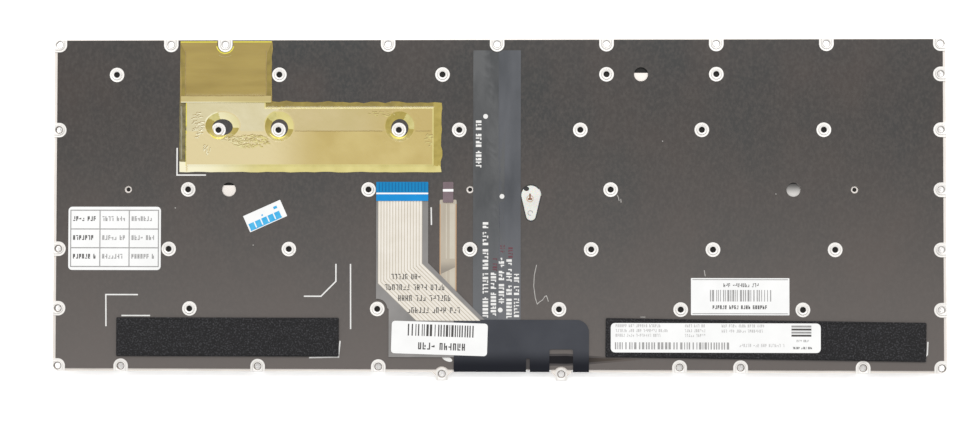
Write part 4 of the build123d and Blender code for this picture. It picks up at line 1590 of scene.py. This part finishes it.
@dataclass
class InsulatingTape:
    """Two overlapped lengths of yellow tape over a pale shim, cut round three bosses."""

    plate: BasePlate
    step_x: float = -71.1
    step_y: float = 33.6
    seam: float = 35.3
    overlap: float = 1.6
    overlap_band: float = 2.1
    shim_edges: tuple[float, float, float, float] = (2.1, 2.0, 2.5, 1.45)
    shim_step: float = 2.0
    shim: float = 0.2
    shim_slope: float = 0.8
    step: float = 0.45
    wrinkle: float = 0.16
    crease: float = 1.3
    crease_drop: float = 0.35
    highlight_band: float = 0.4
    oval: tuple[Point, Point] = ((1.3, 1.4), (5.6, 4.4))
    round_hole: tuple[Point, Point] = ((0.3, 1.1), (4.75, 4.9))
    inner_share: float = 0.58
    inner_drop: float = 0.5
    crumples: tuple[Crumple, ...] = (
        Crumple(1, (-8.6, -3.6), (5.6, 2.2), 120),
        Crumple(1, (-15.0, -3.2), (3.2, 1.4), 24),
        Crumple(0, (-6.4, 1.4), (1.9, 4.2), 40, 15.0),
        Crumple(0, (-3.8, -6.2), (1.2, 1.9), 10, 55.0),
        Crumple(2, (9.4, -3.2), (1.3, 2.0), 16, 20.0),
        Crumple(2, (-5.8, 5.2), (4.4, 0.8), 12, -12.0),
    )
    # Each tear has its reach, its step and the seed of its draws.
    foot_tear: Tear = (0.12, 2.5, 1)
    right_tear: Tear = (0.3, 1.6, 2)
    step_tear: Tear = (0.35, 2.2, 3)
    left_tear: Tear = (0.15, 3.0, 4)
    upper_tear: Tear = (0.2, 2.4, 5)
    side_tears: tuple[Tear, Tear] = ((0.2, 2.5, 7), (0.2, 3.0, 10))
    step_rise: float = 0.5
    upper_rise: float = 0.08
    pad_clearance: float = 2.5
    dish_rim: Point = (0.96, 1.04)
    rim_roll: Place = (0.05, 1.02, 0.07)
    rim_pucker: Place = (0.3, 1.3, 0.3)
    calm: float = 0.1
    row_fold: float = 0.012
    # Each pucker has the number of its boss, its place from there and its size.
    puckers: tuple[tuple[int, Point, Point], ...] = (
        (1, (-9.0, -3.4), (7.0, 1.5)),
        (0, (-6.0, -0.5), (2.5, 3.0)),
    )
    corner_share: float = 1.6
    lit_from: float = -12.0
    lit_to: float = 105.0
    far_lit_to: float = 60.0
    wall_to: float = 145.0
    rim_lit_to: float = 165.0
    wrinkle_width: float = 0.22
    glint_shift: Point = (0.08, -0.2)
    glint: Point = (0.18, 0.025)
    row_tear: Tear = (0.04, 0.5, 12)
    row_crease: Point = (0.16, 0.05)
    row_gap: float = 1.05
    skirt: float = 2.95
    skirt_share: float = 0.22
    skirt_span: Point = (-165.0, -25.0)
    skirt_rise: float = 0.02
    strip_rise: float = 0.12
    hem_inset: float = 0.4

    def __post_init__(self) -> None:
        """Read the tape's edges and the bosses inside it from the frame."""
        (self.left, self.low, self.under), (self.right, self.top, self.over) = reach("insulating_tape")
        inside = [stud for stud in self.plate.studs if self.left < stud.x < self.right]
        self.bosses = sorted((stud.x, stud.y) for stud in inside if self.low < stud.y < self.step_y)
        edge = self.left + self.plate.flange
        self.pad = next((stud.x, stud.y) for stud in inside if stud.end > 0 and stud.x > edge)
        self.crease_y = self.bosses[1][1] - self.crease_drop

    def holes(self) -> list[tuple[float, float, float, float]]:
        """Centre and half sizes of the dished area round each boss."""
        forms = [self.oval] + [self.round_hole] * (len(self.bosses) - 1)
        return [(x + dx, y + dy, wide, deep) for (x, y), ((dx, dy), (wide, deep)) in zip(self.bosses, forms)]

    def shim_outline(self, inset: float) -> Outline:
        """Outline of the shim under the tape.

        Args:
            inset: distance that the outline is set in from the shim's edge.

        Returns:
            The outline from its lower left corner.
        """
        left, low, right, high = self.shim_edges
        left, low, right = self.left + left + inset, self.low + low + inset, self.right - right - inset
        corner, high = self.step_x - self.shim_step - inset, self.step_y - high - inset
        top = self.seam - inset
        return [(left, low), (right, low), (right, high), (corner, high), (corner, top), (left, top)]

    def depth(self, x: float, y: float) -> float:
        """Distance inside the shim's edge at a point.

        Args:
            x: place along X.
            y: place along Y.

        Returns:
            The distance, which is less than 0 outside the shim.
        """
        (left, low), (right, _), (_, high), (corner, _), (_, top), _ = self.shim_outline(0.0)
        upper = min(corner - x, top - y)
        return min(x - left, right - x, y - low, max(high - y, upper))

    def dished(self, x: float, y: float) -> float:
        """Least distance from a dish's centre at a point, as a share of the dish."""
        return min(math.hypot((x - px) / wide, (y - py) / deep) for px, py, wide, deep in self.holes())

    def lift(self, x: float, y: float) -> float:
        """Height of the tape above its flat face at a point.

        Args:
            x: place along X.
            y: place along Y.

        Returns:
            Height from the shim, the dishes and the wrinkles.
        """
        away = self.dished(x, y)
        dish = smooth((away - self.inner_share) / (1 - self.inner_share))
        height = self.shim * smooth(self.depth(x, y) / self.shim_slope + 0.5) * dish
        roll, middle, width = self.rim_roll
        height += roll * bell(away - middle, width)
        ridge = 1 - abs(noise.noise(Vector((x, y, 0.0)) / self.crease))
        row = y - self.bosses[0][1]
        pucker, middle, width = self.rim_pucker
        strength = self.calm + pucker * bell(away - middle, width)
        for number, (dx, dy), (wide, deep) in self.puckers:
            strength += bell(row - dy, deep) * bell(x - self.bosses[number][0] - dx, wide)
        fold = self.row_fold * bell(row + 0.3 * math.sin(x / 3), 0.25)
        return height + fold + self.wrinkle * min(strength, 1.0) * ridge**4

    def finish_at(self, x: float, y: float) -> Tone:
        """Choose the tape's finish at a point.

        Args:
            x: place along X.
            y: place along Y.

        Returns:
            The finish over the shim, over the film or in a dish, or a painted highlight, reflection or shade.
        """
        depth, away = self.depth(x, y), self.dished(x, y)
        if away < self.dish_rim[1]:
            return self.dish_tone(x, y, away)
        # Painted shade on the left edge, with a painted highlight at its lower end.
        if x < self.left + self.shim_edges[0]:
            return Tone.SHADE if y > self.low + self.corner_share * self.shim_edges[1] else Tone.HIGHLIGHT
        lower = y < self.low + self.shim_edges[1]
        if depth < 0 and not lower:
            return Tone.EDGE if x > self.right - self.shim_edges[2] else Tone.OLIVE
        # Painted highlight along the shim's edges.
        if depth < self.highlight_band and x > self.left + self.shim_edges[0] + self.highlight_band:
            return Tone.HIGHLIGHT
        if y < self.crease_y:
            return Tone.LOW
        # Above the crease the left part takes the painted reflection.
        return Tone.PALE if x > self.bosses[1][0] else Tone.REFLECTION

    def dish_tone(self, x: float, y: float, away: float) -> Tone:
        """Choose the tape's finish in a dish, where the side that faces the light is pale.

        Args:
            x: place along X.
            y: place along Y.
            away: distance from the dish's centre as a share of the dish.

        Returns:
            The finish of the rim or of the wall inside it.
        """
        holes = self.holes()
        number = min(range(len(holes)), key=lambda index: abs(x - holes[index][0]))
        px, py, wide, deep = holes[number]
        turn = math.degrees(math.atan2((y - py) / deep, (x - px) / wide))
        far = number == len(holes) - 1
        if away > self.dish_rim[0]:
            return Tone.HIGHLIGHT if self.lit_to < turn < self.rim_lit_to and not far else Tone.LOW
        if self.lit_from < turn < (self.far_lit_to if far else self.lit_to):
            return Tone.HALF_LIT_WALL if far else Tone.HIGHLIGHT
        return Tone.HALF_LIT_WALL if self.lit_to <= turn < self.wall_to and not far else Tone.EDGE

    def build(self) -> bpy.types.Object:
        """Make both lengths of tape.

        Returns:
            The tape.
        """
        left, right, low, top = self.left, self.right, self.low, self.top
        step = (self.step_x, self.step_y + self.step_rise)
        lower = wavy((left, low), (right, low), *self.foot_tear)
        lower += wavy((right, low), (right, self.step_y), *self.right_tear)
        lower += wavy((right, self.step_y), step, *self.step_tear)
        lower += [step, (self.step_x, self.seam)]
        lower += wavy((left, self.seam), (left, low), *self.left_tear)
        foot = self.seam - self.overlap
        upper = [(left + 0.1, foot)] + wavy((self.step_x, foot), (self.step_x, top), *self.upper_tear)
        upper += [(self.step_x, top), (left + 0.1, top)]
        share = self.inner_share
        cut = [ring(x, y - self.inner_drop, wide * share, deep * share) for x, y, wide, deep in self.holes()]
        cut += [stud.outline(self.pad_clearance) for stud in self.plate.studs if not stud.inner]
        lines = [
            ring(x, y, wide * part, deep * part, 60)
            for x, y, wide, deep in self.holes()
            for part in self.dish_rim
        ]
        edges = [self.shim_outline(inset) for inset in (-0.25, 0.0, 0.25, self.highlight_band)]
        edges.append(rectangle(self.bosses[1][0], self.crease_y, right - 3, self.step_y - 2.5))
        lines += [divided(edge, self.step) for edge in edges]
        shape = Shape()
        seeds = grid(left + 0.3, low + 0.3, right - 0.3, self.seam - 0.4, self.step)
        shape.sheet([lower, *lines], cut, self.under, self.over, 0, seeds, self.lift)
        shape.tone(0, self.finish_at)
        seeds = grid(left + 0.3, foot, self.step_x - 0.3, top - 0.5, 1.0)
        shape.sheet([upper], cut, self.under, self.over + self.upper_rise, Tone.HIGH, seeds, self.sag)
        self.creases(shape)
        self.loose_edges(shape)
        finishes = [TAPE_LOW, TAPE_HIGH, TAPE_EDGE, TAPE_HIGHLIGHT, TAPE_PALE, TAPE_CREASE_SHADE]
        finishes += [TAPE_BRIGHT, TAPE_DOUBLE, TAPE_SHADE, TAPE_OLIVE, TAPE_HALF_LIT_WALL, TAPE_REFLECTION, TAPE_FOLD_SHEEN]
        return shape.piece("yellow_tape", finishes, "tape", ["insulating_tape"])

    def sag(self, x: float, y: float) -> float:
        """Slight unevenness of the upper length, which steps down past the lower one."""
        uneven = 0.04 * noise.noise(Vector((x, y, 4.0)) / 4)
        return uneven + self.shim * (1 - smooth((y - self.seam) / 0.8))

    def ridge(
        self, shape: Shape, line: Sequence[Point], width: float, finish: Tone, rise: float = 0.02
    ) -> None:
        """Add a low ridge along a line on the lower length.

        Args:
            shape: shape that takes the ridge.
            line: its points.
            width: its width.
            finish: number of its finish.
            rise: its height above the tape.
        """
        shape.sheet([stroke(line, width)], [], self.over, self.over + rise, finish, lift=self.lift)

    def creases(self, shape: Shape) -> None:
        """Add the crumpled patches as ridges in painted shade with painted glints beside them, the crease on the
        boss row in painted shade and the bright arcs at the bosses.

        Args:
            shape: shape that takes them.
        """
        for patch in self.crumples:
            for line in patch.lines(self.bosses[patch.boss]):
                # A ridge in painted shade, with a painted glint beside it.
                self.ridge(shape, line, self.wrinkle_width, Tone.CREASE_SHADE)
                beside = [(x + self.glint_shift[0], y + self.glint_shift[1]) for x, y in line]
                self.ridge(shape, beside, self.glint[0], Tone.HIGHLIGHT, self.glint[1])
        _, second, third = self.holes()
        ends = [second[0] + self.row_gap * second[2], third[0] - self.row_gap * third[2]]
        ends += [third[0] + self.row_gap * third[2], self.right - self.shim_edges[2] - self.highlight_band]
        for start, end in zip(ends[::2], ends[1::2]):
            run = wavy((start, self.crease_y), (end, self.crease_y), *self.row_tear)
            # Painted shade along the crease on the boss row.
            self.ridge(shape, run, self.row_crease[0], Tone.CREASE_SHADE, self.row_crease[1])
        for boss in self.bosses:
            skirt = crescent(boss, (self.skirt, self.skirt), self.skirt_share, self.skirt_span)
            top = self.over + self.skirt_rise
            shape.sheet([skirt], [], self.over, top, Tone.BRIGHT, lift=self.lift)

    def loose_edges(self, shape: Shape) -> None:
        """Add the overlap, the side strips and the bright edges of the upper length, with lines of painted shade
        and painted highlight.

        Args:
            shape: shape that takes them.
        """
        left, right, top, foot = self.left, self.step_x, self.top, self.seam - self.overlap
        level, band = self.over + self.strip_rise, foot + self.overlap_band
        sides = [(left + 1.6, left + 0.15), (right - 1.7, right - 0.25)]
        for (inward, outward), tear in zip(sides, self.side_tears):
            strip = wavy((inward, band), (inward, top - 0.6), *tear)
            shape.ink([strip + [(outward, top - 0.6), (outward, band)]], level, Tone.OLIVE)
        inner = [[(x, band), (x, top - 1)] for x in (left + 1.75, right - 1.85)]
        # Lines of painted shade along the side strips.
        shape.ink([stroke(wavy(*line, 0.06, 2.0, 14), 0.22) for line in inner], level + 0.008, Tone.CREASE_SHADE)
        over = self.over + self.shim + 0.13
        start, end = left + self.hem_inset, right - self.hem_inset
        shape.ink([rectangle(start, foot + 0.1, right - 0.3, band)], over, Tone.DOUBLE, 0.02)
        # Painted highlight along the foot of the overlap.
        hem_highlight = [(start, foot + 0.15), (end, foot + 0.15)]
        shape.ink([stroke(hem_highlight, 0.24)], over + 0.02, Tone.HIGHLIGHT)
        crease = wavy((start, band), (end, band), 0.05, 2.0, 15)
        # Painted shade along the crease of the overlap.
        shape.ink([stroke(crease, 0.16)], over + 0.02, Tone.CREASE_SHADE)
        pads = [stud.outline(self.pad_clearance) for stud in self.plate.studs if stud.end > 0]
        edge = stroke([(left + 0.2, top - 0.2), (right - 0.2, top - 0.2)], 0.36)
        shape.sheet([edge], pads, level, level + INK_THICKNESS, Tone.BRIGHT)
        x, y = self.pad
        # Round the pad: tape over the metal, an arc of painted shade and a thin arc in the overlap's tone.
        arcs = ((2.7, 80, 0.4, Tone.BRIGHT), (3.7, 30, 0.14, Tone.CREASE_SHADE), (3.85, 32, 0.14, Tone.DOUBLE))
        for radius, span, width, finish in arcs:
            turns = [math.radians(-90 + span * step / 8) for step in range(-8, 9)]
            arc = [(x + radius * math.cos(turn), y + radius * math.sin(turn)) for turn in turns]
            shape.ink([stroke(arc, width)], level, finish)
        # Ridge of the lifted left edge, in its painted sheen.
        fold = wavy((left + 0.55, self.low + 4.0), (left + 0.5, foot), 0.14, 1.1, 16)
        self.ridge(shape, fold, 0.5, Tone.FOLD_SHEEN)
        shim = left + self.shim_edges[0]
        self.ridge(shape, [(shim, self.low + 2), (shim, foot)], 0.3, Tone.BRIGHT)


@dataclass
class FoamStrip:
    """Strip of open-cell foam with eased edges and a rough skin."""

    name: str
    node: str
    length: float
    turn: float = 0.0
    depth: float = 12.2
    step: float = 0.55
    ease: float = 0.5
    drop: float = 0.22
    rough: float = 0.05
    cell: float = 0.9
    corner: float = 0.4
    margin: float = 0.12
    fill: float = 0.8

    def skin(self, x: float, y: float) -> float:
        """Height of the skin below the strip's top at a point.

        Args:
            x: place along its length, from its middle.
            y: place along its depth, from its middle.

        Returns:
            The height, which is less than 0.
        """
        edge = min(self.length / 2 - abs(x), self.depth / 2 - abs(y))
        cell = noise.noise(Vector((x, y, self.length / 2)) / self.cell)
        return self.rough * (cell - 1) - self.drop * (1 - smooth(edge / self.ease))

    def build(self) -> bpy.types.Object:
        """Make the strip where its node lies.

        Returns:
            The strip.
        """
        (left, low, under), (right, high, over) = reach(self.node)
        half, deep = self.length / 2, self.depth / 2
        strip = Shape()
        outline = rectangle(-half, -deep, half, deep, self.corner)
        inner_half, inner_deep = half - self.margin, deep - self.margin
        seeds = grid(-inner_half, -inner_deep, inner_half, inner_deep, self.step)
        strip.sheet([outline], [], under, over, 0, seeds, self.skin)
        shape = Shape()
        shape.put(strip, (left + right) / 2, (low + high) / 2, self.turn)
        made = shape.piece(self.name, [FOAM], "foam", [self.node])
        return made


@dataclass(frozen=True)
class Key:
    """A keycap's place, and the joint and body that carry it if it travels."""

    left: float
    low: float
    right: float
    high: float
    node: str = ""
    body: str = BODY
    joint: str = ""

    @property
    def middle(self) -> Point:
        """Centre of the cap."""
        return (self.left + self.right) / 2, (self.low + self.high) / 2

    def ring(self, inset: float, level: float, corner: float) -> list[Place]:
        """Level ring set in from the cap's edge."""
        edges = (self.left + inset, self.low + inset, self.right - inset, self.high - inset)
        return [(x, y, level) for x, y in rectangle(*edges, corner)]


@dataclass
class KeyField:
    """Keycaps with their legends, and the domes and links that carry them."""

    height: float = 2.0
    face: float = 0.9
    wall: float = 1.0
    draft: float = math.radians(12)
    corner: float = 1.0
    dish: float = 0.08
    shoulder: float = 0.3
    travel: float = 1.2
    legend: float = 3.0
    word: float = 2.0
    legend_inset: float = 2.3
    link_reach: float = 5.2
    link_side: float = 5.0
    wide_key: float = 30.0
    shifted: str = "~!@#$%^&*()_+"
    plain: str = "`1234567890-="
    arrows: dict[str, float] = field(
        default_factory=lambda: {"up": 90, "left": 0, "down": -90, "right": 180}
    )
    dish_shares: tuple[float, ...] = (0.8, 0.5, 0.25, 0.1, 0.0)
    link: float = 0.5
    rod: float = 0.7
    rod_inset: float = 3.0
    rod_aside: float = 2.8

    def __post_init__(self) -> None:
        """Find every key in the frame and the level that carries the domes."""
        self.base = reach("switch_membrane")[0][2]
        bodies = {joint["child"]: joint["name"] for joint in frame["joints"]}
        members = frame["record"]["behaviour"]["bodies"]
        nodes = [(members[body][0], body, name) for body, name in bodies.items()]
        keys = [Key(*self.outer(node), node, body, name) for node, body, name in nodes]
        keys += [Key(*spans(group)) for group in groups(node_faces("fixed_keycaps"))]
        keys.sort(key=lambda key: (-round(key.middle[1]), -key.middle[0]))
        self.keys = keys

    def outer(self, node: str) -> tuple[float, float, float, float]:
        """Left, low, right and high edge of a key's node."""
        low, high = reach(node)
        return low[0], low[1], high[0], high[1]

    def legends(self) -> list[str]:
        """Legends in the order of the keys, row by row from the right.

        Returns:
            One text for each key, with the arrow keys by direction.
        """
        digits = [f"{above}\n{below}" for above, below in zip(self.shifted, self.plain)]
        rows = ["Esc", *(f"F{number}" for number in range(1, 13)), "PrtSc", "Ins", "Del"]
        rows += [*digits, "Backspace", "Tab", *"QWERTYUIOP", "{\n[", "}\n]", "|\n\\"]
        rows += ["Caps Lock", *"ASDFGHJKL", ":\n;", "\"\n'", "Enter"]
        rows += ["Shift", *"ZXCVBNM", "<\n,", ">\n.", "?\n/", "up", "Shift"]
        return rows + ["Ctrl", "Fn", "Menu", "Alt", "", "Alt", "Ctrl", "left", "down", "right"]

    def cap(self, shape: Shape, key: Key) -> None:
        """Add a cap with a dished face, a rounded shoulder and the pocket for its dome.

        Args:
            shape: shape that takes the cap.
            key: place of the cap.
        """
        slope = math.tan(self.draft)
        edge = self.height * slope + self.shoulder
        reach_in = min(key.right - key.left, key.high - key.low) / 2 - edge - 0.4
        rings = []
        for share in self.dish_shares:
            sunk = self.dish * (1 - (1 - share) ** 2)
            rings.append(key.ring(edge + share * reach_in, sunk, max(self.corner * (1 - share), 0.2)))
        # The shoulder and the side come next, then the wall's foot and the pocket inside it.
        rings += [
            key.ring(edge - 0.2, 0.05, self.corner),
            key.ring((self.height - self.shoulder) * slope, self.shoulder, self.corner),
            key.ring(0.0, self.height, self.corner),
            key.ring(self.wall * 0.8, self.height, 0.7),
            key.ring(self.wall, self.height - 0.2, 0.6),
            key.ring(self.wall + 0.1, self.face, 0.5),
        ]
        shape.loft(rings)

    def write(self, shape: Shape, key: Key, text: str) -> None:
        """Add a legend to a cap, to be read from the key side.

        Args:
            shape: shape that takes the legend.
            key: place of the cap.
            text: its legend.
        """
        inset = self.height * math.tan(self.draft) + self.legend_inset
        if text in self.arrows:
            x, y = key.middle
            turn = self.arrows[text]
            tip = Shape()
            tip.sheet([[(1.1, 0.0), (-0.9, 1.1), (-0.9, -1.1)]], [], 0.01, 0.07, 1)
            shape.put(tip, x, y, turn)
            return
        small = len(text.replace("\n", "")) > 1
        size = self.word if small else self.legend
        curve = bpy.data.curves.new("legend", "FONT")
        curve.body, curve.size, curve.extrude, curve.resolution_u = text, size, 0.03, 2
        maker = bpy.data.objects.new("legend", curve)
        mesh = bpy.data.meshes.new_from_object(maker)
        start = (key.right - inset, key.high - inset - 0.62 * size)
        corners = [point.co for point in mesh.vertices]
        places = [(start[0] - corner.x, start[1] + corner.y, 0.04 - corner.z) for corner in corners]
        shape.gather(places, [tuple(face.vertices) for face in mesh.polygons], 1)
        bpy.data.objects.remove(maker)
        bpy.data.curves.remove(curve)
        bpy.data.meshes.remove(mesh)

    def mechanism(self, shape: Shape, key: Key) -> None:
        """Add the dome and the crossed links under a cap.

        Args:
            shape: shape that takes them.
            key: place of the cap.
        """
        x, y = key.middle
        top, foot = self.face + 0.02, self.base - 0.01
        profile = [(1.15, top), (1.25, top + 0.2), (1.5, top + 0.5)]
        profile += [(2.2, top + 1.7), (2.5, foot - 0.15), (2.7, foot)]
        shape.loft([[(px, py, z) for px, py in ring(x, y, radius, sides=18)] for radius, z in profile], 0)
        across = min((key.right - key.left) / 2 - 2.4, self.link_reach)
        aside = min((key.high - key.low) / 2 - 1.7, self.link_side)
        low, high = top + 0.35, foot - 0.3
        for side, slope in ((aside, 1), (aside - 0.6, -1)):
            near, far = x - slope * across, x + slope * across
            for edge in (-side, side):
                shape.beam((near, y + edge, low), (far, y + edge, high), self.link, self.link, 1)
            shape.beam((near, y - side, low), (near, y + side, low), self.link, self.link, 1)
            shape.beam((far, y - side, high), (far, y + side, high), self.link, self.link, 1)
        if key.right - key.left > self.wide_key:
            row, level = y + self.rod_aside, foot - 0.5
            ends = [(x, row, level) for x in (key.left + self.rod_inset, key.right - self.rod_inset)]
            shape.beam(*ends, self.rod, self.rod, 2)

    def build(self) -> None:
        """Make every cap with its legend, and the domes and links under it."""
        fixed_caps, fixed_links = Shape(), Shape()
        finishes = [SILICONE, ACETAL, WIRE]
        for key, text in zip(self.keys, self.legends()):
            caps = Shape() if key.joint else fixed_caps
            links = Shape() if key.joint else fixed_links
            self.cap(caps, key)
            if text:
                self.write(caps, key, text)
            self.mechanism(links, key)
            if key.joint:
                name = key.node.removeprefix("key_")
                caps.piece(f"keycap_{name}", [KEYCAP, LEGEND], "keycap", [key.node], key.body)
                under = links.piece(f"dome_and_links_{name}", finishes, "dome")
                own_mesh(under)
        fixed_caps.piece("keycaps_of_other_keys", [KEYCAP, LEGEND], "keycap", ["fixed_keycaps"])
        fixed_links.piece("domes_and_links_of_other_keys", finishes, "dome", ["rubber_domes"])


@dataclass
class Studio:
    """White floor, soft light and a camera above the part."""

    lens: float = 70.0
    sensor: float = 36.0
    clip: Point = (0.01, 20.0)
    place: Place = (14.42, -15.91, 598.97)
    tilt: Place = (0.0249, 0.0297, 0.0016)
    floor_half: float = 4000.0
    floor_colour: str = "DADADA"
    floor_white: float = 1.95
    sky: float = 0.8
    lamp_place: Place = (20.0, 640.0, 950.0)
    lamp_size: Point = (1000.0, 600.0)
    lamp_power: float = 7.7

    def camera(self) -> None:
        """Set the camera at the view of the reference."""
        data = bpy.data.cameras.new("camera")
        data.lens, data.sensor_width = self.lens, self.sensor
        data.clip_start, data.clip_end = self.clip
        made = bpy.data.objects.new("camera", data)
        made.location, made.rotation_euler = Vector(self.place) * METRE, self.tilt
        bpy.context.scene.collection.objects.link(made)
        bpy.context.scene.camera = made

    def floor(self) -> None:
        """Lay the white floor, which keeps the part's shadow."""
        half = self.floor_half * METRE
        corners = [(x, y, 0.0) for x, y in rectangle(-half, -half, half, half)]
        mesh = bpy.data.meshes.new("floor")
        mesh.from_pydata(corners, [], [(0, 1, 2, 3)])
        mesh.materials.append(self.floor_paint())
        made = bpy.data.objects.new("floor", mesh)
        bpy.context.scene.collection.objects.link(made)
        made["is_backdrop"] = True

    def seen(self, tree: bpy.types.NodeTree) -> bpy.types.NodeSocket:
        """Share of rays that come from the camera, a reflection or a clear piece.

        Args:
            tree: node tree of the floor or the sky.

        Returns:
            The share, as an output socket.
        """
        path = add(tree, "LightPath", {})
        first = {0: path.outputs["Is Camera Ray"], 1: path.outputs["Is Glossy Ray"]}
        either = add(tree, "Math", first, operation="ADD")
        rays = {0: either.outputs[0], 1: path.outputs["Is Transmission Ray"]}
        return add(tree, "Math", rays, operation="ADD", use_clamp=True).outputs[0]

    def floor_paint(self) -> bpy.types.Material:
        """Make the floor's matt white.

        Returns:
            A white that shows brighter than it lights the part, so that only deep shade is grey.
        """
        made = bpy.data.materials.new("matt_white_floor")
        made.use_nodes = True
        tree = made.node_tree
        tree.nodes.clear()
        matt = add(tree, "BsdfDiffuse", {"Color": linear(self.floor_colour)})
        shown = add(tree, "BsdfDiffuse", {"Color": (self.floor_white,) * 3 + (1.0,)})
        mixed = add(tree, "MixShader", {0: self.seen(tree), 1: matt.outputs[0], 2: shown.outputs[0]})
        add(tree, "OutputMaterial", {"Surface": mixed.outputs[0]})
        return made

    def light(self) -> None:
        """Set the white sky and one broad lamp over the upper edge."""
        world = bpy.data.worlds.new("sky")
        bpy.context.scene.world = world
        world.use_nodes = True
        tree = world.node_tree
        tree.nodes.clear()
        strength = add(tree, "MapRange", {"Value": self.seen(tree), "To Min": self.sky, "To Max": 1.0})
        sky = add(tree, "Background", {"Strength": strength.outputs[0]})
        add(tree, "OutputWorld", {"Surface": sky.outputs[0]})
        data = bpy.data.lights.new("soft_box", "AREA")
        data.shape, data.energy = "RECTANGLE", self.lamp_power
        data.size, data.size_y = (side * METRE for side in self.lamp_size)
        lamp = bpy.data.objects.new("soft_box", data)
        lamp.location = Vector(self.lamp_place) * METRE
        lamp.rotation_euler = (-lamp.location).to_track_quat("-Z", "Y").to_euler()
        bpy.context.scene.collection.objects.link(lamp)

    def build(self) -> None:
        """Make the camera, the floor and the light."""
        bpy.context.scene.view_settings.view_transform = "Standard"
        self.camera()
        self.floor()
        self.light()


def write_size() -> None:
    """Gather the box of the solids and the box of the finished part; the result is not kept."""
    boxes = {"cad": CAD_BOX, "visual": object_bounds()}
    {name: [list(corner) for corner in box] for name, box in boxes.items()}


def main() -> None:
    """Build the studio and every piece in order."""
    logging.basicConfig(level=logging.INFO, format="%(message)s")
    Studio().build()
    plate = BasePlate()
    plate.build()
    BackFilm(plate).build()
    guide = LightGuide()
    guide.build()
    guide.dress()
    LightStrip(plate).build()
    RibbonTail(plate).build()
    InsulatingTape(plate).build()
    FoamStrip("left_foam", "foam_strip_left", 70.4).build()
    FoamStrip("right_foam", "foam_strip_right", 99.8, -0.7).build()
    for label in back_labels():
        label.build()
    KeyField().build()
    write_size()


if __name__ == "__main__":
    main()
